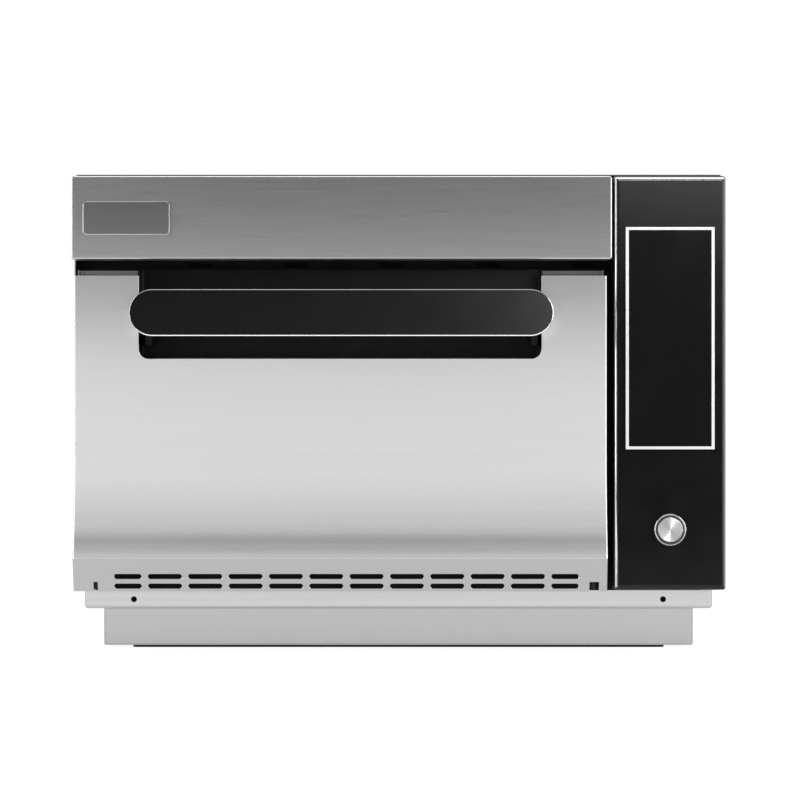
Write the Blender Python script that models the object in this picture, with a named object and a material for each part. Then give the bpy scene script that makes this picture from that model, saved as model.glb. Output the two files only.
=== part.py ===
# Speed oven for a counter: microwaves and fan-driven hot air in one chamber,
# behind a drop-down door, with the controls in a panel at the right.
# Metres, +Z up, the front towards -Y. The origin is on the counter, under the
# middle of the box that holds the whole oven.

import math

import bmesh
import bpy
from mathutils import Matrix, Vector

# Sizes of the whole oven
BODY_WIDTH = 0.650
BODY_HEIGHT = 0.477
OVERALL_DEPTH = 0.700
HANDLE_REACH = 0.045
GLAND_REACH = 0.016

# Sheet metal, fits and cuts
SHEET = 0.0012
BASE_SHEET = 0.0015
FIT = 0.0003
OVERRUN = 0.006
BEND_RADIUS = 0.0025
SMALLEST_RADIUS = 0.0002

# Base
FOOT_SIDE_INSET = 0.0285
FOOT_WIDTH = 0.034
FOOT_HEIGHT = 0.0027
FOOT_INSET = 0.012
PLINTH_SIDE_INSET = 0.0268
PLINTH_SETBACK = 0.060
PLINTH_HEIGHT = 0.0373
PLINTH_CORNER = 0.004
PAN_SIDE_INSET = 0.0083
PAN_SETBACK = 0.050
PAN_HEIGHT = 0.0185
PAN_HOLE_RADIUS = 0.003
PAN_HOLE_INSET = 0.0499
PAN_HOLE_LIFT_SHARE = 0.51

# Cabinet
FRAME_SETBACK = 0.048
COVER_GAP = 0.015
WRAP_FLANGE = 0.020
WRAP_RADIUS = 0.004
REAR_FLANGE = 0.014
SIDE_VENT_LENGTH = 0.060
SIDE_VENT_HEIGHT = 0.005
SIDE_VENT_PITCH = 0.016
SIDE_VENT_ROWS = 7
SIDE_VENT_LOW = 0.110
SIDE_VENT_REAR = 0.110
REAR_VENT_LENGTH = 0.130
REAR_VENT_HEIGHT = 0.006
REAR_VENT_PITCH = 0.018
REAR_VENT_ROWS = 8
REAR_VENT_LOW = 0.220
REAR_VENT_INSET = 0.145

# Fascia over the door
FASCIA_HEIGHT = 0.083
FASCIA_DROP = 0.0035
PLATE_WIDTH = 0.0861
PLATE_HEIGHT = 0.0331
PLATE_THICKNESS = 0.0022
PLATE_CORNER = 0.004
PLATE_INSET = 0.0119
PLATE_LIFT = 0.0244
PLATE_BEND = 0.0012

# Control panel
PANEL_WIDTH = 0.1112
PANEL_GAP = 0.0018
PANEL_LIFT = 0.0033
DISPLAY_SIDE_GAP = 0.0116
DISPLAY_FOOT_GAP = 0.1396
DISPLAY_LINE = 0.0029
DISPLAY_TOP = 0.051
DISPLAY_THICKNESS = 0.0016
DISPLAY_WINDOW_LAP = 0.004
GLASS_RECESS = 0.0003
BUTTON_LIFT = 0.0600
BEZEL_RADIUS = 0.0159
BEZEL_REACH = 0.0034
BARREL_WALL = 0.0012
BARREL_DEPTH = 0.022
NUT_RADIUS = 0.0175
NUT_THICKNESS = 0.004
CAP_RADIUS = 0.0124
CAP_GAP = 0.0004
CAP_DEPTH = 0.009
CAP_PROUD = 0.0012
CAP_TRAVEL = 0.0025
SWITCH_REACH = 0.037
BOARD_SIDE_GAP = 0.002
BOARD_END_GAP = 0.00725
BOARD_THICKNESS = 0.0016
BOARD_STANDOFF = 0.009
BOARD_STANDOFF_RADIUS = 0.003
BOARD_EDGE = 0.006
RELAY_WIDTH = 0.022
RELAY_HEIGHT = 0.016
RELAY_DEPTH = 0.013
RELAY_PITCH = 0.030
RELAY_END_GAP = 0.022

# Cooking chamber
CAVITY_SIDE_ROOM = 0.0643
CAVITY_DROP = 0.0243
CAVITY_REAR_ROOM = 0.208
CAVITY_SHIFT = 0.0061
CAVITY_LIFT = 0.0409
CAVITY_CORNER = 0.012
CAVITY_SHEET = 0.0015
JACKET_THICKNESS = 0.020
HEARTH_THICKNESS = 0.012
HEARTH_MARGIN = 0.005
HEARTH_FRONT_GAP = 0.006
HEARTH_CORNER = 0.008
JET_DROP = 0.016
JET_HOLE_RADIUS = 0.0065
JET_ROWS = 4
JET_COLUMNS = 5
JET_SPREAD_SHARE = 0.80
BAFFLE_DEPTH = 0.014
BAFFLE_MARGIN = 0.003
BAFFLE_LOW_GAP = 0.003
BAFFLE_CORNER = 0.006
INTAKE_ROOT_SHARE = 0.40
INTAKE_TIP_SHARE = 0.83
INTAKE_OPEN_SHARE = 0.49
INTAKE_SLOTS = 12
OUTLET_END_GAP = 0.048
OUTLET_SLOT_WIDTH = 0.007
OUTLET_SLOT_PITCH = 0.016
OUTLET_SLOTS = 3
OUTLET_INSET = 0.020
FAN_OPENING_SIDE = 0.055
FAN_OPENING_END = 0.025
FAN_OPENING_CORNER = 0.008

# Hot-air system behind the chamber
PLENUM_SIDE_LAP = 0.015
PLENUM_END_LAP = 0.013
PLENUM_DEPTH = 0.060
PLENUM_CORNER = 0.016
FAN_RADIUS_SHARE = 0.796
FAN_HUB_RADIUS = 0.017
FAN_HUB_LENGTH = 0.026
FAN_DISC = 0.0016
FAN_BLADE_DEPTH = 0.028
FAN_BLADE_THICKNESS = 0.0016
FAN_BLADE_ROOT_SHARE = 0.46
FAN_BLADE_LAG = 0.60
FAN_BLADES = 9
FAN_REAR_GAP = 0.012
SHAFT_RADIUS = 0.005
SHAFT_GAP = 0.0004
SHAFT_HOLE_GAP = 0.003
SHAFT_SEAT = 0.024
ELEMENT_ROOM = 0.015
ELEMENT_TUBE = 0.004
ELEMENT_SPREAD = 0.018
ELEMENT_STEPS = 22
ELEMENT_TAIL = 0.026
ELEMENT_BEND = 0.014
ELEMENT_HOLE_GAP = 0.0006
MOTOR_RADIUS = 0.042
MOTOR_FLANGE_RADIUS = 0.056
MOTOR_FLANGE = 0.004
MOTOR_LENGTH = 0.088
MOTOR_CAP_RADIUS = 0.030
MOTOR_CAP_LENGTH = 0.012
MOTOR_CHAMFER = 0.006

# Microwave system
WAVEGUIDE_WIDTH = 0.086
WAVEGUIDE_HEIGHT = 0.043
WAVEGUIDE_WALL = 0.0015
WAVEGUIDE_INNER_END = 0.048
WAVEGUIDE_FRONT = 0.090
WAVEGUIDE_PITCH = 0.140
LAUNCH_LENGTH = 0.076
LAUNCH_WIDTH = 0.034
TUBE_INSET = 0.092
TUBE_PLATE_WIDTH = 0.080
TUBE_PLATE_DEPTH = 0.084
TUBE_PLATE = 0.002
TUBE_BODY_WIDTH = 0.072
TUBE_BODY_DEPTH = 0.076
TUBE_BODY_HEIGHT = 0.058
TUBE_FILTER_WIDTH = 0.046
TUBE_FILTER_DEPTH = 0.068
TUBE_FILTER_HEIGHT = 0.026
TUBE_ANTENNA_RADIUS = 0.010
TUBE_ANTENNA_HEIGHT = 0.024
TUBE_HOLE_GAP = 0.002
TUBE_FIN_GAP = 0.0070
TUBE_FIN_PITCH = 0.0115
TUBE_FIN_GAPS = 4
TUBE_FIN_INSET = 0.008

# Electrical parts on the base pan
POWER_INSET = 0.078
POWER_GAP_SHARES = (0.139, 0.101, 0.287, 0.076)
CORE_WIDTH = 0.100
CORE_HEIGHT = 0.084
CORE_DEPTH = 0.056
COIL_WIDTH = 0.072
COIL_HEIGHT = 0.054
COIL_REACH = 0.020
COIL_CORNER = 0.012
CORE_CORNER = 0.002
CAN_WIDTH = 0.052
CAN_DEPTH = 0.033
CAN_HEIGHT = 0.092
CAN_LID = 0.004
CAN_TERMINAL_WIDTH = 0.022
CAN_TERMINAL_HEIGHT = 0.010
BLOWER_WIDTH = 0.070
BLOWER_RADIUS = 0.056
BLOWER_GROWTH = 0.022
BLOWER_WALL = 0.002
BLOWER_INTAKE_RADIUS = 0.040
BLOWER_STEPS = 22
BLOWER_REAR_INSET = 0.095
WHEEL_RADIUS = 0.049
WHEEL_HUB_RADIUS = 0.013
WHEEL_DISC = 0.0016
WHEEL_BLADE_ROOT_SHARE = 0.76
WHEEL_BLADE_THICKNESS = 0.0012
WHEEL_BLADE_LAG = -0.22
WHEEL_BLADES = 14
WHEEL_SIDE_GAP = 0.005
WHEEL_SHAFT_RADIUS = 0.003
WHEEL_SHAFT_SEAT = 0.014
BLOWER_MOTOR_RADIUS = 0.034
BLOWER_MOTOR_LENGTH = 0.030
FILTER_WIDTH = 0.070
FILTER_DEPTH = 0.090
FILTER_HEIGHT = 0.046
FILTER_BASE_HEIGHT = 0.032
FILTER_CAP_WIDTH = 0.056
FILTER_CAP_DEPTH = 0.046
FILTER_REAR_GAP = 0.030
GLAND_INSET = 0.120
GLAND_LIFT = 0.060
GLAND_BORE = 0.0065
GLAND_BARREL = 0.0115
GLAND_FLANGE = 0.016
GLAND_NOSE = 0.0095
GLAND_FLANGE_DEPTH = 0.006
GLAND_INNER_LENGTH = 0.014

# Door
DOOR_TOP_GAP = 0.0162
DOOR_BOTTOM = 0.0615
DOOR_SIDE_INSET = 0.0031
DOOR_PANEL_GAP = 0.0071
DOOR_NOSE_REACH = 0.0158
DOOR_RETURN_DEPTH = 0.033
NOSE_VENT_LENGTH = 0.0336
NOSE_VENT_SHORT = 0.0271
NOSE_VENT_HEIGHT = 0.0050
NOSE_VENT_PITCH = 0.0399
NOSE_VENT_MARGIN = 0.060
NOSE_VENT_LIFTS = (0.0053, 0.0150)
NOTCH_WIDTHS = (0.0042, 0.0094)
NOTCH_HEIGHT = 0.0094
DOOR_FRAME_INSET = 0.002
DOOR_FRAME_TOP_RISE = 0.0062
DOOR_FRAME_BOTTOM_RISE = 0.0325
DOOR_FRAME_FLANGE = 0.016
CHOKE_LAP = 0.018
CHOKE_SHEET = 0.0010
CHOKE_CORNER = 0.010
CHOKE_BEND = 0.002
SEAL_LAP = 0.010
SEAL_WIDTH = 0.007
RECESS_SIDE_ROOM = 0.0645
RECESS_HEIGHT = 0.0824
RECESS_SHIFT = -0.0003
RECESS_CORNER = 0.010
RECESS_RISE = 0.0075
RECESS_LIP_CORNER = 0.004
RECESS_SHEET = 0.0012
HANDLE_LAP = 0.0083
HANDLE_SHIFT = 0.0019
HANDLE_HEIGHT = 0.0460
HANDLE_THICKNESS = 0.0200
HANDLE_DROP = 0.0377
HANDLE_RIM = 0.0010
HANDLE_FACE = 0.0036
HANDLE_FACE_BEND = 0.0009
HANDLE_BEND = 0.0030
POST_WIDTH = 0.0060
POST_HEIGHT = 0.0400
POST_INSET = 0.0184
POST_DROP = 0.0118

# Door hinges and latches
HINGE_LIFT = 0.0165
HINGE_SETBACK = 0.030
HINGE_INSET = 0.0176
HINGE_SHIFT = -0.0015
HINGE_PLATE = 0.003
HINGE_SIDE_GAP = 0.0008
PIN_RADIUS = 0.004
PIN_GAP = 0.0003
PIN_HEAD_RADIUS = 0.006
PIN_HEAD = 0.0015
ARM_LOBE = 0.009
ARM_LENGTH = 0.104
ARM_WIDTH = 0.024
BRACKET_LOBE = 0.0135
BRACKET_TAB_REACH = 0.0335
BRACKET_TAB_LOW = 0.0145
BRACKET_TAB_HIGH = 0.0060
BRACKET_TAIL = 0.016
BRACKET_FOOT = 0.034
BRACKET_SLOT_GAP = 0.0015
LATCH_HINGE_GAP = 0.0107
LATCH_DROP = 0.0243
LATCH_HEIGHT = 0.012
LATCH_REACH = 0.044
LATCH_WIDTH = 0.005
LATCH_TOOTH = 0.005
LATCH_ROOT_RISE = 0.006
LATCH_SLOT_SIDE = 0.002
LATCH_SLOT_LOW = 0.009
LATCH_SLOT_HIGH = 0.008
LATCH_BLOCK_WIDTH = 0.0175
LATCH_BLOCK_WALL = 0.004
LATCH_BLOCK_DEPTH = 0.044
LATCH_BLOCK_BACK = 0.004

# Front frame vents under the fascia
GAP_VENT_LENGTH = 0.0262
GAP_VENT_HEIGHT = 0.0050
GAP_VENT_PITCH = 0.0967
GAP_VENT_RISE = 0.0037
GAP_VENT_INSET = 0.0155

# Facets
CORNER_STEPS = 2
FINE_STEPS = 5
BEND_STEPS = 2
SLOT_STEPS = 2
NOSE_SLOT_STEPS = 4
GRIP_STEPS = 10
ROUND_STEPS = 20
BUTTON_STEPS = 24
HOLE_STEPS = 8
SMOOTH_ANGLE = math.radians(35)

# Places that follow from the sizes
LEFT_X = -BODY_WIDTH / 2
RIGHT_X = BODY_WIDTH / 2
PLINTH_WIDTH = BODY_WIDTH - 2 * PLINTH_SIDE_INSET
FOOT_LENGTH = PLINTH_WIDTH - 2 * FOOT_SIDE_INSET
PAN_WIDTH = BODY_WIDTH - 2 * PAN_SIDE_INSET
PAN_HOLE_SPACING = PAN_WIDTH - 2 * PAN_HOLE_INSET
REAR_VENT_OFFSET = BODY_WIDTH / 2 - REAR_VENT_INSET
GLAND_OFFSET = BODY_WIDTH / 2 - GLAND_INSET
FASCIA_WIDTH = BODY_WIDTH - PANEL_WIDTH - PANEL_GAP
GAP_VENT_COUNT = 1 + int((FASCIA_WIDTH - GAP_VENT_INSET) / GAP_VENT_PITCH)
FRONT_Y = -OVERALL_DEPTH / 2 + HANDLE_REACH
REAR_Y = OVERALL_DEPTH / 2 - GLAND_REACH
PLINTH_BOTTOM = FOOT_HEIGHT + FIT
PLINTH_TOP = PLINTH_BOTTOM + PLINTH_HEIGHT
PLINTH_FRONT = FRONT_Y + PLINTH_SETBACK
PAN_BOTTOM = PLINTH_TOP + FIT
PAN_TOP = PAN_BOTTOM + PAN_HEIGHT
PAN_FLOOR = PAN_BOTTOM + BASE_SHEET
PAN_FRONT = FRONT_Y + PAN_SETBACK
SHELF_Z = PAN_FLOOR + FIT
WRAP_BOTTOM = PAN_TOP + FIT
WRAP_INSIDE = BODY_WIDTH / 2 - SHEET
FRAME_Y = FRONT_Y + FRAME_SETBACK
FRAME_BACK = FRAME_Y + SHEET
FRAME_BOTTOM = WRAP_BOTTOM + SHEET + FIT
FRAME_TOP = BODY_HEIGHT - SHEET - FIT
COVER_BACK = FRAME_Y - COVER_GAP
WRAP_FRONT = COVER_BACK + FIT
FASCIA_TOP = BODY_HEIGHT - FASCIA_DROP
FASCIA_BOTTOM = FASCIA_TOP - FASCIA_HEIGHT
PANEL_LEFT = LEFT_X + FASCIA_WIDTH + PANEL_GAP
PANEL_BOTTOM = PAN_TOP + PANEL_LIFT
PANEL_X = (PANEL_LEFT + RIGHT_X) / 2
PANEL_BACK = FRONT_Y + SHEET
DISPLAY_WIDTH = PANEL_WIDTH - 2 * DISPLAY_SIDE_GAP
DISPLAY_HEIGHT = FASCIA_TOP - PANEL_BOTTOM - DISPLAY_TOP - DISPLAY_FOOT_GAP
BOARD_WIDTH = DISPLAY_WIDTH - 2 * BOARD_SIDE_GAP
BOARD_HEIGHT = DISPLAY_HEIGHT - 2 * BOARD_END_GAP
RELAY_COUNT = 1 + int((BOARD_HEIGHT - RELAY_HEIGHT - 2 * RELAY_END_GAP) / RELAY_PITCH)
DOOR_TOP = FASCIA_BOTTOM - DOOR_TOP_GAP
DOOR_LEFT = LEFT_X + DOOR_SIDE_INSET
DOOR_RIGHT = PANEL_LEFT - DOOR_PANEL_GAP
DOOR_WIDTH = DOOR_RIGHT - DOOR_LEFT
DOOR_X = (DOOR_LEFT + DOOR_RIGHT) / 2
NOSE_VENT_LONG_COUNT = int((DOOR_WIDTH - 2 * NOSE_VENT_MARGIN) / NOSE_VENT_PITCH)
RECESS_WIDTH = DOOR_WIDTH - 2 * RECESS_SIDE_ROOM
HANDLE_WIDTH = RECESS_WIDTH + 2 * HANDLE_LAP
HINGE_SPREAD = DOOR_WIDTH / 2 - HINGE_INSET
LATCH_SPREAD = HINGE_SPREAD - LATCH_HINGE_GAP
DOOR_HEIGHT = DOOR_TOP - DOOR_BOTTOM
CAVITY_X = DOOR_X + CAVITY_SHIFT
HINGE_X = CAVITY_X + HINGE_SHIFT
CAVITY_WIDTH = DOOR_WIDTH - 2 * CAVITY_SIDE_ROOM
CAVITY_FLOOR = PAN_TOP + CAVITY_LIFT
CAVITY_TOP = DOOR_TOP - CAVITY_DROP
CAVITY_HEIGHT = CAVITY_TOP - CAVITY_FLOOR
CAVITY_Z = (CAVITY_FLOOR + CAVITY_TOP) / 2
LINER_FRONT = FRAME_BACK + FIT
LINER_BACK = REAR_Y - CAVITY_REAR_ROOM
HINGE_Y = FRONT_Y + HINGE_SETBACK
HINGE_Z = DOOR_BOTTOM + HINGE_LIFT
LATCH_Z = DOOR_TOP - LATCH_DROP
DOOR_BACK = FRONT_Y + DOOR_RETURN_DEPTH
CHOKE_FACE = FRAME_Y - SHEET - 2 * FIT
LINER_SIZE = (CAVITY_WIDTH + 2 * CAVITY_SHEET, CAVITY_HEIGHT + 2 * CAVITY_SHEET)
JACKET_INNER = (LINER_SIZE[0] + 2 * FIT, LINER_SIZE[1] + 2 * FIT)
JACKET_OUTER = (JACKET_INNER[0] + 2 * JACKET_THICKNESS, JACKET_INNER[1] + 2 * JACKET_THICKNESS)
JACKET_TOP = CAVITY_Z + JACKET_OUTER[1] / 2
FAN_OPENING_WIDTH = CAVITY_WIDTH - 2 * FAN_OPENING_SIDE
FAN_OPENING_HEIGHT = CAVITY_HEIGHT - 2 * FAN_OPENING_END
PLENUM_WIDTH = FAN_OPENING_WIDTH + 2 * PLENUM_SIDE_LAP
PLENUM_HEIGHT = FAN_OPENING_HEIGHT + 2 * PLENUM_END_LAP
ELEMENT_RADIUS = PLENUM_HEIGHT / 2 - ELEMENT_ROOM
FAN_RADIUS = ELEMENT_RADIUS * FAN_RADIUS_SHARE
PLENUM_FRONT = LINER_BACK + FIT
PLENUM_BACK = PLENUM_FRONT + PLENUM_DEPTH
MOTOR_FRONT = PLENUM_BACK + FIT
HEARTH_TOP = CAVITY_FLOOR + FIT + HEARTH_THICKNESS
JET_Z = CAVITY_TOP - JET_DROP
BAFFLE_FACE = LINER_BACK - CAVITY_SHEET - FIT - BAFFLE_DEPTH
WAVEGUIDE_BOTTOM = JACKET_TOP + FIT
POWER_X = RIGHT_X - POWER_INSET
RECESS_X = DOOR_X + RECESS_SHIFT
HANDLE_X = RECESS_X + HANDLE_SHIFT
HANDLE_Z = DOOR_TOP - HANDLE_DROP
HANDLE_FRONT = FRONT_Y - HANDLE_REACH
HANDLE_BACK = HANDLE_FRONT + HANDLE_THICKNESS
RECESS_BACK = DOOR_BACK - FIT
RECESS_FLOOR = DOOR_TOP - RECESS_HEIGHT

# The door's outer face from top to bottom: share of the door's height, share of the nose's reach
DOOR_PROFILE_SHARES = (
    (1.0000, 0.000),
    (0.4640, 0.000),
    (0.4110, 0.023),
    (0.3630, 0.082),
    (0.3150, 0.179),
    (0.2670, 0.313),
    (0.2190, 0.484),
    (0.1810, 0.646),
    (0.1455, 0.816),
    (0.1055, 1.000),
    (0.0800, 0.835),
    (0.0430, 0.600),
    (0.0000, 0.320),
)


def remove_old_objects():
    for item in list(bpy.data.objects):
        bpy.data.objects.remove(item, do_unlink=True)


def make_material(name, colour, roughness, metallic):
    finish = bpy.data.materials.new(name)
    finish.use_nodes = True
    shader = finish.node_tree.nodes["Principled BSDF"]
    shader.inputs["Base Color"].default_value = (colour[0], colour[1], colour[2], 1.0)
    shader.inputs["Roughness"].default_value = roughness
    shader.inputs["Metallic"].default_value = metallic
    return finish


def place(axis, across, up, along):
    # A point in a plane square to the axis. X looks at (y, z), Y at (x, z) and Z at (x, y).
    if axis == "X":
        return Vector((along, across, up))
    if axis == "Y":
        return Vector((across, along, up))
    return Vector((across, up, along))


def ring(axis, outline, along):
    return [place(axis, across, up, along) for across, up in outline]


def rounded_outline(size, radius, centre=(0.0, 0.0), steps=CORNER_STEPS):
    # A rectangle with round corners, anticlockwise from its right-hand side.
    reach = (size[0] / 2 - radius, size[1] / 2 - radius)
    points = []
    for side, level, start in ((1, 1, 0), (-1, 1, 1), (-1, -1, 2), (1, -1, 3)):
        for step in range(steps + 1):
            angle = (start + step / steps) * math.pi / 2
            across = centre[0] + side * reach[0] + radius * math.cos(angle)
            up = centre[1] + level * reach[1] + radius * math.sin(angle)
            points.append((across, up))
    return points


def slot_outline(length, height, centre=(0.0, 0.0), turn=0.0, steps=SLOT_STEPS):
    # A slot with full round ends, turned about its centre.
    points = []
    for side, start in ((1, -0.5), (-1, 0.5)):
        for step in range(steps + 1):
            angle = (start + step / steps) * math.pi
            across = side * (length - height) / 2 + height / 2 * math.cos(angle)
            up = height / 2 * math.sin(angle)
            points.append((
                centre[0] + across * math.cos(turn) - up * math.sin(turn),
                centre[1] + across * math.sin(turn) + up * math.cos(turn),
            ))
    return points


def round_outline(radius, centre=(0.0, 0.0), steps=ROUND_STEPS, start=0.5):
    points = []
    for step in range(steps):
        angle = 2 * math.pi * (step + start) / steps
        points.append((centre[0] + radius * math.cos(angle), centre[1] + radius * math.sin(angle)))
    return points


def rounded_path(corners, radius, steps=CORNER_STEPS, closed=False):
    # Replaces each corner of a path by an arc. The radius is one value, or one for each corner.
    count = len(corners)
    points = []
    for index in range(count):
        here = Vector(corners[index])
        bend = radius[index] if isinstance(radius, (list, tuple)) else radius
        if (not closed and index in (0, count - 1)) or bend == 0:
            points.append(tuple(here))
            continue
        arriving = (here - Vector(corners[index - 1])).normalized()
        leaving = (Vector(corners[(index + 1) % count]) - here).normalized()
        turn = math.atan2(arriving.cross(leaving), arriving.dot(leaving))
        start = here - arriving * bend * math.tan(abs(turn) / 2)
        side = math.copysign(1.0, turn)
        normal = Vector((-arriving.y, arriving.x)) * side
        centre = start + normal * bend
        for step in range(steps + 1):
            angle = turn * step / steps
            spoke = -normal
            points.append((
                centre.x + bend * (spoke.x * math.cos(angle) - spoke.y * math.sin(angle)),
                centre.y + bend * (spoke.x * math.sin(angle) + spoke.y * math.cos(angle)),
            ))
    return points


def thickened(path, wall):
    # Turns an open path into a closed strip. A positive wall goes to the left of the path.
    offset = []
    count = len(path)
    for index in range(count):
        here = Vector(path[index])
        normals = []
        if index > 0:
            run = (here - Vector(path[index - 1])).normalized()
            normals.append(Vector((-run.y, run.x)))
        if index < count - 1:
            run = (Vector(path[index + 1]) - here).normalized()
            normals.append(Vector((-run.y, run.x)))
        if len(normals) == 1:
            shift = normals[0]
        else:
            shift = (normals[0] + normals[1]) / (1.0 + normals[0].dot(normals[1]))
        offset.append(tuple(here + shift * wall))
    return list(path) + offset[::-1]


def add_loft(mesh, rings, closed=False):
    # Skins a row of rings that have equal counts. A closed loft joins its last ring to its first.
    rows = [[mesh.verts.new(point) for point in points] for points in rings]
    pairs = list(zip(rows, rows[1:]))
    if closed:
        pairs.append((rows[-1], rows[0]))
    count = len(rows[0])
    for lower, upper in pairs:
        for index in range(count):
            after = (index + 1) % count
            mesh.faces.new((lower[index], lower[after], upper[after], upper[index]))
    if not closed:
        mesh.faces.new(rows[0][::-1])
        mesh.faces.new(rows[-1])


def mesh_data(name, mesh):
    # Faces of separate bodies are each turned outwards.
    bmesh.ops.recalc_face_normals(mesh, faces=mesh.faces[:])
    data = bpy.data.meshes.new(name)
    mesh.to_mesh(data)
    mesh.free()
    return data


def add_part(name, mesh, finish, body=None):
    data = mesh_data(name, mesh)
    data.materials.append(finish)
    data.shade_smooth()
    data.set_sharp_from_angle(angle=SMOOTH_ANGLE)
    item = bpy.data.objects.new(name, data)
    bpy.context.scene.collection.objects.link(item)
    hang_on(item, body)
    return item


def hang_on(item, body):
    # The empty sits on the joint's axis, and the piece keeps its place in the world.
    if body is not None:
        item.parent = body
        item.matrix_parent_inverse = Matrix.Translation(body.location).inverted()


def add_axis(name, location):
    body = bpy.data.objects.new(name, None)
    body.location = location
    bpy.context.scene.collection.objects.link(body)
    return body


def combine(item, mesh, label, operation):
    # Cuts or joins by a Boolean whose second solid stays out of the model.
    tool = bpy.data.objects.new(item.name + "_" + label, mesh_data(item.name + "_" + label, mesh))
    bpy.context.scene.collection.objects.link(tool)
    tool.hide_render = True
    tool.display_type = "WIRE"
    hang_on(tool, item.parent)
    step = item.modifiers.new(label, "BOOLEAN")
    step.operation = operation
    step.solver = "EXACT"
    step.object = tool


def cut(item, mesh, label):
    combine(item, mesh, label, "DIFFERENCE")


def join(item, mesh, label):
    combine(item, mesh, label, "UNION")


def prism(mesh, axis, outline, start, end):
    add_loft(mesh, [ring(axis, outline, start), ring(axis, outline, end)])


def add_prism(name, finish, axis, outline, start, end, body=None):
    mesh = bmesh.new()
    prism(mesh, axis, outline, start, end)
    return add_part(name, mesh, finish, body)


def add_turned(name, finish, axis, centre, profile, body=None, bored=False, steps=ROUND_STEPS):
    # The profile is a row of (radius, along). A bored one closes on itself.
    mesh = bmesh.new()
    rings = [ring(axis, round_outline(radius, centre, steps), along) for radius, along in profile]
    add_loft(mesh, rings, closed=bored)
    return add_part(name, mesh, finish, body)


def add_stack(name, finish, axis, centre, sections, body=None):
    # Blocks of unlike section stacked along an axis: (width, height, corner, along) for each ring.
    mesh = bmesh.new()
    rings = []
    for width, height, corner, along in sections:
        rings.append(ring(axis, rounded_outline((width, height), corner, centre), along))
    add_loft(mesh, rings)
    return add_part(name, mesh, finish, body)


def bent_rings(axis, size, centre, open_at, face_at, corner, bend):
    # From the face, round its bent edge, to the open side.
    way = math.copysign(1.0, face_at - open_at)
    rings = []
    for step in range(BEND_STEPS, -1, -1):
        angle = math.pi / 2 * step / BEND_STEPS
        shrink = bend * (1 - math.cos(angle))
        outline = rounded_outline(
            (size[0] - 2 * shrink, size[1] - 2 * shrink),
            max(corner - shrink, SMALLEST_RADIUS),
            centre,
        )
        rings.append(ring(axis, outline, face_at - way * bend * (1 - math.sin(angle))))
    rings.append(ring(axis, rounded_outline(size, max(corner, SMALLEST_RADIUS), centre), open_at))
    return rings


def add_pan(name, finish, axis, size, centre, open_at, face_at, corner, bend, wall, body=None):
    # A pressed sheet pan: a face with bent edges and a wall all round, open at the other side.
    way = math.copysign(1.0, face_at - open_at)
    inner_size = (size[0] - 2 * wall, size[1] - 2 * wall)
    outer = bent_rings(axis, size, centre, open_at, face_at, corner, bend)
    inner = bent_rings(
        axis, inner_size, centre, open_at, face_at - way * wall,
        max(corner - wall, SMALLEST_RADIUS), max(bend - wall, SMALLEST_RADIUS),
    )
    mesh = bmesh.new()
    add_loft(mesh, outer + inner[::-1])
    return add_part(name, mesh, finish, body)


def add_pillow(name, finish, axis, outline_at, face_at, back_at, bend, body=None):
    # A solid plate whose face has a rounded edge. outline_at gives the outline for an inset.
    way = math.copysign(1.0, face_at - back_at)
    mesh = bmesh.new()
    rings = []
    for step in range(BEND_STEPS, -1, -1):
        angle = math.pi / 2 * step / BEND_STEPS
        outline = outline_at(bend * (1 - math.cos(angle)))
        rings.append(ring(axis, outline, face_at - way * bend * (1 - math.sin(angle))))
    rings.append(ring(axis, outline_at(0.0), back_at))
    add_loft(mesh, rings)
    return add_part(name, mesh, finish, body)


def make_base(finishes):
    rear = REAR_Y - SHEET
    plinth_rear = rear - FOOT_INSET
    plinth_depth = plinth_rear - PLINTH_FRONT
    plinth_middle = (PLINTH_FRONT + plinth_rear) / 2
    add_pan(
        "plinth", finishes["plinth"], "Z", (PLINTH_WIDTH, plinth_depth), (0.0, plinth_middle),
        PLINTH_TOP, PLINTH_BOTTOM, PLINTH_CORNER, BEND_RADIUS, BASE_SHEET,
    )
    pan_depth = rear - PAN_FRONT
    pan = add_pan(
        "base_pan", finishes["chassis"], "Z", (PAN_WIDTH, pan_depth), (0.0, PAN_FRONT + pan_depth / 2),
        PAN_TOP, PAN_BOTTOM, PLINTH_CORNER, BEND_RADIUS, BASE_SHEET,
    )
    holes = bmesh.new()
    for side in (-1, 1):
        centre = (side * PAN_HOLE_SPACING / 2, PAN_BOTTOM + PAN_HEIGHT * PAN_HOLE_LIFT_SHARE)
        prism(
            holes, "Y", round_outline(PAN_HOLE_RADIUS, centre, HOLE_STEPS),
            PAN_FRONT - OVERRUN, PAN_FRONT + OVERRUN,
        )
    cut(pan, holes, "holes")
    foot_middle = FOOT_INSET + FOOT_WIDTH / 2
    for name, y in (
        ("foot_strip_front", PLINTH_FRONT + foot_middle),
        ("foot_strip_rear", plinth_rear - foot_middle),
    ):
        outline = rounded_outline((FOOT_LENGTH, FOOT_WIDTH), PLINTH_CORNER, (0.0, y))
        add_prism(name, finishes["rubber"], "Z", outline, 0.0, FOOT_HEIGHT)


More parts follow.
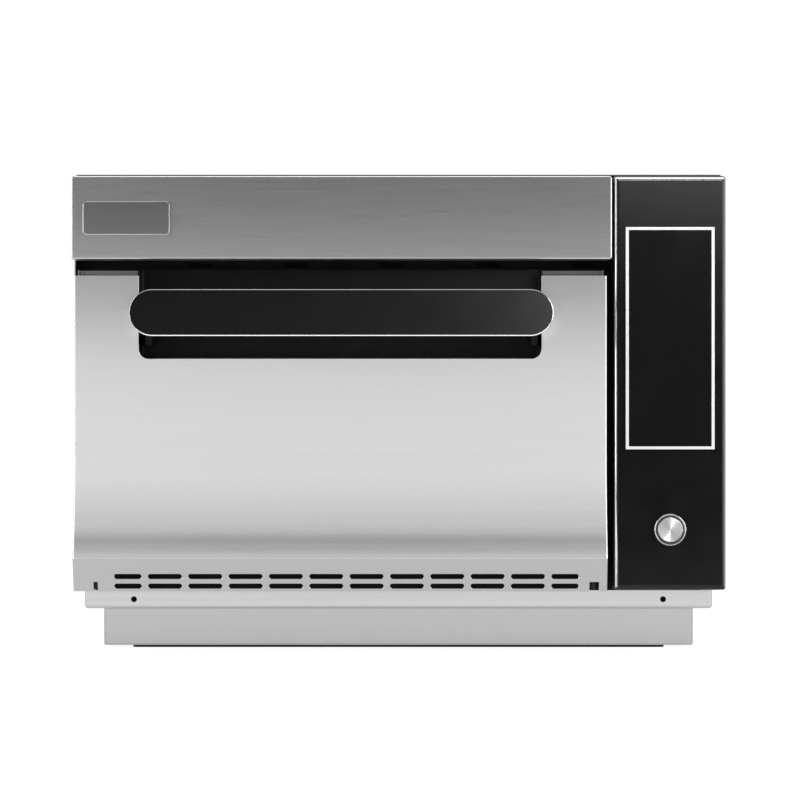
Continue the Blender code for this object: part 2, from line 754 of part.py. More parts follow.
def make_wrap(finishes):
    # One sheet: both sides, the top and the two flanges that rest over the base pan.
    half = BODY_WIDTH / 2
    corners = [
        (-half + WRAP_FLANGE, WRAP_BOTTOM),
        (-half, WRAP_BOTTOM),
        (-half, BODY_HEIGHT),
        (half, BODY_HEIGHT),
        (half, WRAP_BOTTOM),
        (half - WRAP_FLANGE, WRAP_BOTTOM),
    ]
    path = rounded_path(corners, WRAP_RADIUS)
    wrap = add_prism("cabinet_wrap", finishes["cabinet"], "Y", thickened(path, -SHEET), WRAP_FRONT, REAR_Y)
    slots = bmesh.new()
    for side, columns in ((-1, 1), (1, 2)):
        for column in range(columns):
            y = REAR_Y - SIDE_VENT_REAR - column * (SIDE_VENT_LENGTH + SIDE_VENT_PITCH)
            for row in range(SIDE_VENT_ROWS):
                z = SIDE_VENT_LOW + row * SIDE_VENT_PITCH
                prism(
                    slots, "X", slot_outline(SIDE_VENT_LENGTH, SIDE_VENT_HEIGHT, (y, z)),
                    side * half - OVERRUN, side * half + OVERRUN,
                )
    cut(wrap, slots, "slots")
    # The door's lower lip swings through here, in front of the frame.
    relief = bmesh.new()
    size = (BODY_WIDTH + 2 * OVERRUN, 2 * (WRAP_RADIUS + OVERRUN))
    outline = rounded_outline(size, FIT, (0.0, WRAP_BOTTOM - OVERRUN))
    prism(relief, "Y", outline, WRAP_FRONT - OVERRUN, FRAME_Y)
    cut(wrap, relief, "relief")


def make_rear_panel(finishes):
    size = (2 * (WRAP_INSIDE - FIT), FRAME_TOP - FRAME_BOTTOM)
    middle = (0.0, (FRAME_TOP + FRAME_BOTTOM) / 2)
    panel = add_pan(
        "rear_panel", finishes["cabinet"], "Y", size, middle, REAR_Y - REAR_FLANGE, REAR_Y,
        WRAP_RADIUS, BEND_RADIUS, SHEET,
    )
    holes = bmesh.new()
    for side in (-1, 1):
        for row in range(REAR_VENT_ROWS):
            centre = (side * REAR_VENT_OFFSET, REAR_VENT_LOW + row * REAR_VENT_PITCH)
            prism(
                holes, "Y", slot_outline(REAR_VENT_LENGTH, REAR_VENT_HEIGHT, centre),
                REAR_Y - OVERRUN, REAR_Y + OVERRUN,
            )
    gland_centre = (-GLAND_OFFSET, SHELF_Z + GLAND_LIFT)
    prism(
        holes, "Y", round_outline(GLAND_BARREL + FIT, gland_centre, ROUND_STEPS),
        REAR_Y - OVERRUN, REAR_Y + OVERRUN,
    )
    cut(panel, holes, "holes")
    outer_face = REAR_Y + FIT
    add_turned(
        "cable_gland", finishes["black_plastic"], "Y", gland_centre,
        [
            (GLAND_BORE, REAR_Y - GLAND_INNER_LENGTH),
            (GLAND_BARREL, REAR_Y - GLAND_INNER_LENGTH),
            (GLAND_BARREL, outer_face),
            (GLAND_FLANGE, outer_face),
            (GLAND_FLANGE, outer_face + GLAND_FLANGE_DEPTH),
            (GLAND_BARREL, outer_face + GLAND_FLANGE_DEPTH),
            (GLAND_NOSE, REAR_Y + GLAND_REACH),
            (GLAND_BORE, REAR_Y + GLAND_REACH),
        ],
        bored=True,
    )


def hinge_places():
    return (("left", -1), ("right", 1))


def frame_outline(low, high, low_radius, high_radius):
    half = WRAP_INSIDE - FIT
    corners = [(-half, low), (half, low), (half, high), (-half, high)]
    return rounded_path(corners, (low_radius, low_radius, high_radius, high_radius), closed=True)


def make_front_frame(finishes):
    # The flat front of the cabinet: two uprights and a top rail round the chamber's mouth.
    frame = add_prism(
        "front_frame", finishes["frame"], "Y",
        frame_outline(CAVITY_FLOOR + FIT, FRAME_TOP, 0, WRAP_RADIUS), FRAME_Y, FRAME_BACK,
    )
    low = FRAME_Y - OVERRUN
    high = FRAME_BACK + OVERRUN
    holes = bmesh.new()
    opening = rounded_outline((CAVITY_WIDTH, CAVITY_HEIGHT), CAVITY_CORNER, (CAVITY_X, CAVITY_Z))
    prism(holes, "Y", opening, low, high)
    vent_z = FASCIA_BOTTOM - GAP_VENT_RISE
    for index in range(GAP_VENT_COUNT):
        x = LEFT_X + GAP_VENT_INSET + GAP_VENT_LENGTH / 2 + index * GAP_VENT_PITCH
        prism(holes, "Y", slot_outline(GAP_VENT_LENGTH, GAP_VENT_HEIGHT, (x, vent_z)), low, high)
    for _, side in hinge_places():
        latch_low = LATCH_Z - LATCH_SLOT_LOW
        latch_high = LATCH_Z + LATCH_HEIGHT + LATCH_SLOT_HIGH
        latch = rounded_outline(
            (LATCH_WIDTH + 2 * LATCH_SLOT_SIDE, latch_high - latch_low), LATCH_SLOT_SIDE,
            (CAVITY_X + side * LATCH_SPREAD, (latch_low + latch_high) / 2),
        )
        prism(holes, "Y", latch, low, high)
    cut(frame, holes, "holes")


def make_front_sill(finishes):
    # The cross member under the chamber's mouth. The hinge brackets come out through its slots.
    sill = add_prism(
        "front_sill", finishes["frame"], "Y",
        frame_outline(FRAME_BOTTOM, CAVITY_FLOOR, WRAP_RADIUS, 0), FRAME_Y, FRAME_BACK,
    )
    slots = bmesh.new()
    size = (HINGE_PLATE + 2 * BRACKET_SLOT_GAP, 2 * (BRACKET_LOBE + BRACKET_SLOT_GAP))
    for _, side in hinge_places():
        outline = rounded_outline(size, BRACKET_SLOT_GAP, (HINGE_X + side * HINGE_SPREAD, HINGE_Z))
        prism(slots, "Y", outline, FRAME_Y - OVERRUN, FRAME_BACK + OVERRUN)
    cut(sill, slots, "slots")


def make_fascia(finishes):
    size = (FASCIA_WIDTH, FASCIA_HEIGHT)
    middle = (LEFT_X + FASCIA_WIDTH / 2, FASCIA_TOP - FASCIA_HEIGHT / 2)
    add_pan(
        "top_fascia", finishes["brushed"], "Y", size, middle, COVER_BACK, FRONT_Y,
        BEND_RADIUS, BEND_RADIUS, SHEET,
    )
    plate_x = LEFT_X + PLATE_INSET + PLATE_WIDTH / 2
    plate_z = FASCIA_BOTTOM + PLATE_LIFT + PLATE_HEIGHT / 2

    def plate_outline(inset):
        plate = (PLATE_WIDTH - 2 * inset, PLATE_HEIGHT - 2 * inset)
        return rounded_outline(plate, PLATE_CORNER - inset, (plate_x, plate_z))

    back = FRONT_Y - FIT
    add_pillow("badge_plate", finishes["plate"], "Y", plate_outline, back - PLATE_THICKNESS, back, PLATE_BEND)


def make_control_panel(finishes):
    size = (RIGHT_X - PANEL_LEFT, FASCIA_TOP - PANEL_BOTTOM)
    panel = add_pan(
        "control_panel", finishes["black_panel"], "Y", size, (PANEL_X, PANEL_BOTTOM + size[1] / 2),
        COVER_BACK, FRONT_Y, BEND_RADIUS, BEND_RADIUS, SHEET,
    )
    display_z = FASCIA_TOP - DISPLAY_TOP - DISPLAY_HEIGHT / 2
    button = (PANEL_X, PANEL_BOTTOM + BUTTON_LIFT)
    glass = (DISPLAY_WIDTH - 2 * DISPLAY_LINE, DISPLAY_HEIGHT - 2 * DISPLAY_LINE)
    window = (glass[0] - 2 * DISPLAY_WINDOW_LAP, glass[1] - 2 * DISPLAY_WINDOW_LAP)
    barrel_radius = CAP_RADIUS + CAP_GAP + BARREL_WALL
    holes = bmesh.new()
    prism(
        holes, "Y", rounded_outline(window, DISPLAY_WINDOW_LAP, (PANEL_X, display_z)),
        FRONT_Y - OVERRUN, FRONT_Y + OVERRUN,
    )
    prism(
        holes, "Y", round_outline(barrel_radius + FIT, button, BUTTON_STEPS),
        FRONT_Y - OVERRUN, FRONT_Y + OVERRUN,
    )
    cut(panel, holes, "holes")

    back = FRONT_Y - FIT
    outer = rounded_outline((DISPLAY_WIDTH, DISPLAY_HEIGHT), SHEET, (PANEL_X, display_z))
    inner = rounded_outline(glass, FIT, (PANEL_X, display_z))
    mesh = bmesh.new()
    front = back - DISPLAY_THICKNESS
    add_loft(
        mesh,
        [ring("Y", outer, back), ring("Y", outer, front), ring("Y", inner, front), ring("Y", inner, back)],
        closed=True,
    )
    add_part("display_frame", mesh, finishes["white_line"])
    pane = (glass[0] - 2 * FIT, glass[1] - 2 * FIT)
    add_prism(
        "touch_display", finishes["display_glass"], "Y",
        rounded_outline(pane, FIT, (PANEL_X, display_z)), front + GLASS_RECESS, back,
    )
    make_board(finishes, display_z)
    make_button(finishes, button, barrel_radius)


def make_board(finishes, display_z):
    # The board stands off the panel's back, with a row of relays on its rear face.
    front = PANEL_BACK + FIT + BOARD_STANDOFF
    back = front + BOARD_THICKNESS
    board = add_prism(
        "control_board", finishes["board"], "Y",
        rounded_outline((BOARD_WIDTH, BOARD_HEIGHT), SHEET, (PANEL_X, display_z)), front, back,
    )
    parts = bmesh.new()
    reach = (BOARD_WIDTH / 2 - BOARD_EDGE, BOARD_HEIGHT / 2 - BOARD_EDGE)
    for side in (-1, 1):
        for level in (-1, 1):
            centre = (PANEL_X + side * reach[0], display_z + level * reach[1])
            prism(
                parts, "Y", round_outline(BOARD_STANDOFF_RADIUS, centre, HOLE_STEPS),
                PANEL_BACK + FIT, front + BOARD_THICKNESS / 2,
            )
    for index in range(RELAY_COUNT):
        z = display_z + (index - (RELAY_COUNT - 1) / 2) * RELAY_PITCH
        outline = rounded_outline((RELAY_WIDTH, RELAY_HEIGHT), FIT, (PANEL_X, z), 1)
        prism(parts, "Y", outline, back - BOARD_THICKNESS / 2, back + RELAY_DEPTH)
    join(board, parts, "components")


def make_button(finishes, button, barrel_radius):
    bore = CAP_RADIUS + CAP_GAP
    front = FRONT_Y - FIT
    lip = front - BEZEL_REACH
    nut_front = PANEL_BACK + FIT
    add_turned(
        "power_button_bezel", finishes["button_metal"], "Y", button,
        [
            (bore, lip + BARREL_WALL / 2),
            (bore + BARREL_WALL / 2, lip),
            (BEZEL_RADIUS - BARREL_WALL, lip),
            (BEZEL_RADIUS, lip + BARREL_WALL),
            (BEZEL_RADIUS, front),
            (barrel_radius, front),
            (barrel_radius, nut_front),
            (NUT_RADIUS, nut_front),
            (NUT_RADIUS, nut_front + NUT_THICKNESS),
            (barrel_radius, nut_front + NUT_THICKNESS),
            (barrel_radius, FRONT_Y + BARREL_DEPTH),
            (bore, FRONT_Y + BARREL_DEPTH),
        ],
        bored=True, steps=BUTTON_STEPS,
    )
    cap_front = lip - CAP_PROUD
    cap_back = cap_front + CAP_DEPTH
    slide = add_axis("power_button_slide", (button[0], cap_front, button[1]))
    add_turned(
        "power_button_cap", finishes["button_metal"], "Y", button,
        [
            (CAP_RADIUS - BARREL_WALL, cap_front),
            (CAP_RADIUS, cap_front + BARREL_WALL / 2),
            (CAP_RADIUS, cap_back),
            (CAP_RADIUS - BARREL_WALL, cap_back),
        ],
        body=slide, steps=BUTTON_STEPS,
    )
    switch_front = cap_back + CAP_TRAVEL + FIT
    add_turned(
        "power_button_switch", finishes["black_plastic"], "Y", button,
        [
            (CAP_RADIUS / 2, switch_front),
            (CAP_RADIUS / 2, switch_front + BARREL_WALL),
            (CAP_RADIUS, switch_front + BARREL_WALL),
            (CAP_RADIUS, FRONT_Y + BARREL_DEPTH + FIT),
            (barrel_radius, FRONT_Y + BARREL_DEPTH + FIT),
            (barrel_radius, FRONT_Y + SWITCH_REACH),
            (CAP_RADIUS / 2, FRONT_Y + SWITCH_REACH),
        ],
    )


def make_chamber(finishes):
    middle = (CAVITY_X, CAVITY_Z)
    liner = add_pan(
        "cavity_liner", finishes["liner"], "Y", LINER_SIZE, middle, LINER_FRONT, LINER_BACK,
        CAVITY_CORNER + CAVITY_SHEET, CAVITY_CORNER, CAVITY_SHEET,
    )
    holes = bmesh.new()
    prism(
        holes, "Y",
        rounded_outline((FAN_OPENING_WIDTH, FAN_OPENING_HEIGHT), FAN_OPENING_CORNER, middle),
        LINER_BACK - CAVITY_SHEET - OVERRUN, LINER_BACK + OVERRUN,
    )
    for y in waveguide_rows():
        launch = rounded_outline((LAUNCH_LENGTH, LAUNCH_WIDTH), SHEET, (CAVITY_X, y))
        prism(holes, "Z", launch, CAVITY_TOP - OVERRUN, CAVITY_TOP + CAVITY_SHEET + OVERRUN)
    cut(liner, holes, "openings")

    jacket_front = LINER_FRONT
    jacket_back = LINER_BACK - CAVITY_CORNER
    inner_corner = CAVITY_CORNER + CAVITY_SHEET + FIT
    outer = rounded_outline(JACKET_OUTER, inner_corner + JACKET_THICKNESS, middle)
    inner = rounded_outline(JACKET_INNER, inner_corner, middle)
    mesh = bmesh.new()
    add_loft(
        mesh,
        [
            ring("Y", outer, jacket_front), ring("Y", outer, jacket_back),
            ring("Y", inner, jacket_back), ring("Y", inner, jacket_front),
        ],
        closed=True,
    )
    jacket = add_part("insulation_jacket", mesh, finishes["insulation"])
    necks = bmesh.new()
    neck = (LAUNCH_LENGTH + 2 * (WAVEGUIDE_WALL + FIT), LAUNCH_WIDTH + 2 * (WAVEGUIDE_WALL + FIT))
    for y in waveguide_rows():
        outline = rounded_outline(neck, SHEET, (CAVITY_X, y))
        prism(necks, "Z", outline, CAVITY_TOP, JACKET_TOP + OVERRUN)
    cut(jacket, necks, "necks")
    make_chamber_fittings(finishes)


def make_chamber_fittings(finishes):
    front = LINER_FRONT + HEARTH_FRONT_GAP
    back = BAFFLE_FACE - HEARTH_MARGIN
    depth = back - front
    centre = (CAVITY_X, (front + back) / 2)
    hearth_width = CAVITY_WIDTH - 2 * HEARTH_MARGIN - 2 * CAVITY_CORNER

    def hearth_outline(inset):
        size = (hearth_width - 2 * inset, depth - 2 * inset)
        return rounded_outline(size, HEARTH_CORNER - inset, centre)

    add_pillow(
        "ceramic_hearth", finishes["ceramic"], "Z", hearth_outline,
        HEARTH_TOP, CAVITY_FLOOR + FIT, BEND_RADIUS,
    )
    jet_size = (CAVITY_WIDTH - 2 * FIT, depth)
    jet = add_pan(
        "top_jet_plate", finishes["liner"], "Z", jet_size, centre,
        CAVITY_TOP - CAVITY_CORNER, JET_Z, BEND_RADIUS, BEND_RADIUS, SHEET,
    )
    holes = bmesh.new()
    for column in range(JET_COLUMNS):
        across = (column / (JET_COLUMNS - 1) - 0.5) * jet_size[0] * JET_SPREAD_SHARE
        for row in range(JET_ROWS):
            along = (row / (JET_ROWS - 1) - 0.5) * jet_size[1] * JET_SPREAD_SHARE
            outline = round_outline(JET_HOLE_RADIUS, (centre[0] + across, centre[1] + along), HOLE_STEPS)
            prism(holes, "Z", outline, JET_Z - OVERRUN, JET_Z + OVERRUN)
    cut(jet, holes, "jets")
    make_baffle(finishes)


def make_baffle(finishes):
    # Air goes in through the ring of slots and comes out at the sides.
    low = HEARTH_TOP + BAFFLE_LOW_GAP
    high = JET_Z - BAFFLE_LOW_GAP
    size = (CAVITY_WIDTH - 2 * BAFFLE_MARGIN - 2 * CAVITY_CORNER, high - low)
    middle = (CAVITY_X, (low + high) / 2)
    baffle = add_pan(
        "air_baffle", finishes["liner"], "Y", size, middle,
        LINER_BACK - CAVITY_SHEET - FIT, BAFFLE_FACE, BAFFLE_CORNER, BEND_RADIUS, SHEET,
    )
    slots = bmesh.new()
    face_low = BAFFLE_FACE - OVERRUN
    face_high = BAFFLE_FACE + OVERRUN
    root = FAN_RADIUS * INTAKE_ROOT_SHARE
    tip = FAN_RADIUS * INTAKE_TIP_SHARE
    ring_radius = (root + tip) / 2
    intake_width = 2 * math.pi * root / INTAKE_SLOTS * INTAKE_OPEN_SHARE
    outlet_length = size[1] - 2 * OUTLET_END_GAP
    for index in range(INTAKE_SLOTS):
        turn = 2 * math.pi * index / INTAKE_SLOTS
        centre = (CAVITY_X + ring_radius * math.cos(turn), CAVITY_Z + ring_radius * math.sin(turn))
        prism(slots, "Y", slot_outline(tip - root, intake_width, centre, turn), face_low, face_high)
    for side in (-1, 1):
        for index in range(OUTLET_SLOTS):
            x = CAVITY_X + side * (size[0] / 2 - OUTLET_INSET - index * OUTLET_SLOT_PITCH)
            outline = slot_outline(outlet_length, OUTLET_SLOT_WIDTH, (x, CAVITY_Z), math.pi / 2)
            prism(slots, "Y", outline, face_low, face_high)
    cut(baffle, slots, "slots")


def fan_blades(mesh, axis, centre, radii, lag, thickness, count, start, end):
    # Curved blades that lean back from root to tip.
    for index in range(count):
        path = []
        for step in range(CORNER_STEPS + 1):
            share = step / CORNER_STEPS
            radius = radii[0] + (radii[1] - radii[0]) * share
            angle = 2 * math.pi * index / count - lag * share * share
            path.append((centre[0] + radius * math.cos(angle), centre[1] + radius * math.sin(angle)))
        prism(mesh, axis, thickened(path, thickness), start, end)


def make_hot_air(finishes):
    middle = (CAVITY_X, CAVITY_Z)
    plenum = add_pan(
        "fan_plenum", finishes["liner"], "Y", (PLENUM_WIDTH, PLENUM_HEIGHT), middle,
        PLENUM_FRONT, PLENUM_BACK, PLENUM_CORNER, BEND_RADIUS, SHEET,
    )
    holes = bmesh.new()
    prism(
        holes, "Y", round_outline(SHAFT_RADIUS + SHAFT_HOLE_GAP, middle, HOLE_STEPS),
        PLENUM_BACK - OVERRUN, PLENUM_BACK + OVERRUN,
    )
    for side in (-1, 1):
        centre = (CAVITY_X + side * ELEMENT_SPREAD, CAVITY_Z - ELEMENT_RADIUS)
        prism(
            holes, "Y", round_outline(ELEMENT_TUBE + ELEMENT_HOLE_GAP, centre, HOLE_STEPS),
            PLENUM_BACK - OVERRUN, PLENUM_BACK + OVERRUN,
        )
    cut(plenum, holes, "holes")

    disc_back = PLENUM_BACK - SHEET - FAN_REAR_GAP
    disc_front = disc_back - FAN_DISC
    spin = add_axis("circulation_fan_spin", (CAVITY_X, disc_front, CAVITY_Z))
    fan = add_turned(
        "circulation_fan", finishes["fan_steel"], "Y", middle,
        [
            (SHAFT_RADIUS, disc_front - FAN_HUB_LENGTH),
            (FAN_HUB_RADIUS / 2, disc_front - FAN_HUB_LENGTH),
            (FAN_HUB_RADIUS, disc_front - FAN_HUB_RADIUS / 2),
            (FAN_HUB_RADIUS, disc_front),
            (FAN_RADIUS, disc_front),
            (FAN_RADIUS, disc_back),
            (FAN_HUB_RADIUS / 2, disc_back),
            (SHAFT_RADIUS, disc_back + SHAFT_RADIUS),
            (SHAFT_RADIUS, MOTOR_FRONT + SHAFT_SEAT - FIT),
        ],
        body=spin,
    )
    blades = bmesh.new()
    fan_blades(
        blades, "Y", middle, (FAN_RADIUS * FAN_BLADE_ROOT_SHARE, FAN_RADIUS - FAN_DISC), FAN_BLADE_LAG,
        FAN_BLADE_THICKNESS, FAN_BLADES, disc_front - FAN_BLADE_DEPTH, disc_front + FAN_DISC / 2,
    )
    join(fan, blades, "blades")

    bore = SHAFT_RADIUS + SHAFT_GAP
    motor_end = MOTOR_FRONT + MOTOR_FLANGE + MOTOR_LENGTH
    add_turned(
        "circulation_motor", finishes["motor"], "Y", middle,
        [
            (bore, MOTOR_FRONT + SHAFT_SEAT),
            (bore, MOTOR_FRONT),
            (MOTOR_FLANGE_RADIUS, MOTOR_FRONT),
            (MOTOR_FLANGE_RADIUS, MOTOR_FRONT + MOTOR_FLANGE),
            (MOTOR_RADIUS, MOTOR_FRONT + MOTOR_FLANGE),
            (MOTOR_RADIUS, motor_end - MOTOR_CHAMFER),
            (MOTOR_RADIUS - MOTOR_CHAMFER, motor_end),
            (MOTOR_CAP_RADIUS, motor_end),
            (MOTOR_CAP_RADIUS, motor_end + MOTOR_CAP_LENGTH),
        ],
    )
    make_element(finishes, disc_front - FAN_BLADE_DEPTH / 2)


def make_element(finishes, ring_y):
    # One tube: in through the plenum's back, once round the fan and out again.
    start = math.asin(ELEMENT_SPREAD / ELEMENT_RADIUS)
    loop = []
    for step in range(ELEMENT_STEPS + 1):
        angle = -math.pi / 2 - start - (2 * math.pi - 2 * start) * step / ELEMENT_STEPS
        x = CAVITY_X + ELEMENT_RADIUS * math.cos(angle)
        z = CAVITY_Z + ELEMENT_RADIUS * math.sin(angle)
        loop.append(Vector((x, ring_y, z)))
    tail_y = PLENUM_BACK + ELEMENT_TAIL
    points = []
    for index, side in ((0, -1), (-1, 1)):
        tail_x = CAVITY_X + side * ELEMENT_SPREAD
        tail_z = CAVITY_Z - ELEMENT_RADIUS
        end = Vector((tail_x, tail_y, tail_z))
        knee = Vector((tail_x, ring_y + ELEMENT_BEND, tail_z))
        first = loop[index]
        middle = (first + knee) / 2 + Vector((0.0, -ELEMENT_TUBE / 2, 0.0))
        points.append([end, knee, middle])
    route = points[0] + loop + points[1][::-1]
    curve = bpy.data.curves.new("heating_element", "CURVE")
    curve.dimensions = "3D"
    curve.bevel_depth = ELEMENT_TUBE
    curve.bevel_resolution = 1
    curve.use_fill_caps = True
    spline = curve.splines.new("POLY")
    spline.points.add(len(route) - 1)
    for point, spot in zip(spline.points, route):
        point.co = (spot.x, spot.y, spot.z, 1.0)
    curve.materials.append(finishes["element"])
    item = bpy.data.objects.new("heating_element", curve)
    bpy.context.scene.collection.objects.link(item)


def waveguide_rows():
    first = LINER_FRONT + WAVEGUIDE_FRONT
    return (first, first + WAVEGUIDE_PITCH)


def make_microwave(finishes):
    inner_end = CAVITY_X - WAVEGUIDE_INNER_END
    tube_x = RIGHT_X - TUBE_INSET
    outer_end = tube_x + TUBE_PLATE_WIDTH / 2
    top = WAVEGUIDE_BOTTOM + WAVEGUIDE_HEIGHT
    wall = WAVEGUIDE_WALL
    neck_bottom = CAVITY_TOP + CAVITY_SHEET + FIT
    hole_radius = TUBE_ANTENNA_RADIUS + TUBE_HOLE_GAP
    for label, y in zip(("front", "rear"), waveguide_rows()):
        duct = add_prism(
            "waveguide_" + label, finishes["aluminium"], "X",
            rounded_outline((WAVEGUIDE_WIDTH, WAVEGUIDE_HEIGHT), SHEET, (y, (WAVEGUIDE_BOTTOM + top) / 2), 1),
            inner_end, outer_end,
        )
        neck = bmesh.new()
        neck_size = (LAUNCH_LENGTH + 2 * wall, LAUNCH_WIDTH + 2 * wall)
        outline = rounded_outline(neck_size, SHEET, (CAVITY_X, y), 1)
        prism(neck, "Z", outline, neck_bottom, WAVEGUIDE_BOTTOM + wall / 2)
        join(duct, neck, "neck")
        hollow = bmesh.new()
        inside = (WAVEGUIDE_WIDTH - 2 * wall, WAVEGUIDE_HEIGHT - 2 * wall)
        outline = rounded_outline(inside, FIT, (y, (WAVEGUIDE_BOTTOM + top) / 2), 1)
        prism(hollow, "X", outline, inner_end + wall, outer_end - wall)
        cut(duct, hollow, "hollow")
        mouth = bmesh.new()
        outline = rounded_outline((LAUNCH_LENGTH, LAUNCH_WIDTH), FIT, (CAVITY_X, y), 1)
        prism(mouth, "Z", outline, neck_bottom - OVERRUN, WAVEGUIDE_BOTTOM + 2 * wall)
        prism(
            mouth, "Z", round_outline(hole_radius, (tube_x, y), HOLE_STEPS),
            WAVEGUIDE_BOTTOM - OVERRUN, WAVEGUIDE_BOTTOM + 2 * wall,
        )
        cut(duct, mouth, "mouths")
        make_magnetron(finishes, "magnetron_" + label, (tube_x, y))


def make_magnetron(finishes, name, centre):
    plate_top = WAVEGUIDE_BOTTOM - FIT
    plate_bottom = plate_top - TUBE_PLATE
    body_bottom = plate_bottom - TUBE_BODY_HEIGHT
    filter_bottom = body_bottom - TUBE_FILTER_HEIGHT
    antenna = 2 * TUBE_ANTENNA_RADIUS
    round_corner = TUBE_ANTENNA_RADIUS - SMALLEST_RADIUS
    tube = add_stack(
        name, finishes["aluminium"], "Z", centre,
        [
            (TUBE_FILTER_WIDTH, TUBE_FILTER_DEPTH, SHEET, filter_bottom),
            (TUBE_FILTER_WIDTH, TUBE_FILTER_DEPTH, SHEET, body_bottom),
            (TUBE_BODY_WIDTH, TUBE_BODY_DEPTH, SHEET, body_bottom),
            (TUBE_BODY_WIDTH, TUBE_BODY_DEPTH, SHEET, plate_bottom),
            (TUBE_PLATE_WIDTH, TUBE_PLATE_DEPTH, SHEET, plate_bottom),
            (TUBE_PLATE_WIDTH, TUBE_PLATE_DEPTH, SHEET, plate_top),
            (antenna, antenna, round_corner, plate_top),
            (antenna, antenna, round_corner, plate_top + TUBE_ANTENNA_HEIGHT),
        ],
    )
    gaps = bmesh.new()
    width = TUBE_BODY_WIDTH - 2 * TUBE_FIN_INSET
    body_middle = (plate_bottom + body_bottom) / 2
    for index in range(TUBE_FIN_GAPS):
        z = body_middle + (index - (TUBE_FIN_GAPS - 1) / 2) * TUBE_FIN_PITCH
        for side in (-1, 1):
            # Each gap stops short of the round anode in the middle of the fins.
            start = centre[1] + side * TUBE_ANTENNA_RADIUS
            outline = rounded_outline((width, TUBE_FIN_GAP), FIT, (centre[0], z), 1)
            prism(gaps, "Y", outline, start, centre[1] + side * (TUBE_BODY_DEPTH / 2 + OVERRUN))
    cut(tube, gaps, "fins")


def power_rows():
    # Two transformers, then two capacitors, in the bay between the front frame and the blower.
    lengths = [CORE_DEPTH + 2 * COIL_REACH] * 2 + [CAN_DEPTH] * 2
    bay = REAR_Y - BLOWER_REAR_INSET - BLOWER_RADIUS - BLOWER_GROWTH - LINER_FRONT
    slack = bay - sum(lengths)
    rows = []
    y = LINER_FRONT
    for length, gap_share in zip(lengths, POWER_GAP_SHARES):
        y += slack * gap_share
        rows.append(y + length / 2)
        y += length
    return rows


def make_power_parts(finishes):
    half_core = CORE_DEPTH / 2
    core_z = SHELF_Z + CORE_HEIGHT / 2
    rows = power_rows()
    for index, label in enumerate(("front", "rear")):
        y = rows[index]
        add_stack(
            "transformer_" + label, finishes["transformer"], "Y", (POWER_X, core_z),
            [
                (COIL_WIDTH - COIL_CORNER, COIL_HEIGHT - COIL_CORNER, COIL_CORNER / 2, y - half_core - COIL_REACH),
                (COIL_WIDTH, COIL_HEIGHT, COIL_CORNER, y - half_core - COIL_REACH + COIL_CORNER / 2),
                (COIL_WIDTH, COIL_HEIGHT, COIL_CORNER, y - half_core),
                (CORE_WIDTH, CORE_HEIGHT, CORE_CORNER, y - half_core),
                (CORE_WIDTH, CORE_HEIGHT, CORE_CORNER, y + half_core),
                (COIL_WIDTH, COIL_HEIGHT, COIL_CORNER, y + half_core),
                (COIL_WIDTH, COIL_HEIGHT, COIL_CORNER, y + half_core + COIL_REACH - COIL_CORNER / 2),
                (COIL_WIDTH - COIL_CORNER, COIL_HEIGHT - COIL_CORNER, COIL_CORNER / 2, y + half_core + COIL_REACH),
            ],
        )
        can_y = rows[index + 2]
        can_corner = CAN_DEPTH / 2 - SMALLEST_RADIUS
        can_top = SHELF_Z + CAN_HEIGHT
        add_stack(
            "capacitor_" + label, finishes["aluminium"], "Z", (POWER_X, can_y),
            [
                (CAN_WIDTH, CAN_DEPTH, can_corner, SHELF_Z),
                (CAN_WIDTH, CAN_DEPTH, can_corner, can_top - CAN_LID),
                (CAN_WIDTH - CAN_LID, CAN_DEPTH - CAN_LID, can_corner - CAN_LID / 2, can_top),
                (CAN_TERMINAL_WIDTH, CAN_DEPTH / 2, CAN_LID, can_top),
                (CAN_TERMINAL_WIDTH, CAN_DEPTH / 2, CAN_LID, can_top + CAN_TERMINAL_HEIGHT),
            ],
        )
    filter_back = REAR_Y - FILTER_REAR_GAP
    add_stack(
        "line_filter", finishes["galvanised"], "Z", (-GLAND_OFFSET, filter_back - FILTER_DEPTH / 2),
        [
            (FILTER_WIDTH, FILTER_DEPTH, SHEET, SHELF_Z),
            (FILTER_WIDTH, FILTER_DEPTH, SHEET, SHELF_Z + FILTER_BASE_HEIGHT),
            (FILTER_CAP_WIDTH, FILTER_CAP_DEPTH, SHEET, SHELF_Z + FILTER_BASE_HEIGHT),
            (FILTER_CAP_WIDTH, FILTER_CAP_DEPTH, SHEET, SHELF_Z + FILTER_HEIGHT),
        ],
    )


def scroll_outline(centre, inset):
    # A spiral casing that grows round to a flat outlet at the top.
    points = []
    for step in range(BLOWER_STEPS + 1):
        share = step / BLOWER_STEPS
        angle = math.pi * (0.25 - 1.5 * share)
        radius = BLOWER_RADIUS + BLOWER_GROWTH * share - inset
        points.append((centre[0] + radius * math.cos(angle), centre[1] + radius * math.sin(angle)))
    top = centre[1] + BLOWER_RADIUS + BLOWER_GROWTH
    points.append((points[-1][0], top + inset))
    points.append((points[0][0], top + inset))
    return points


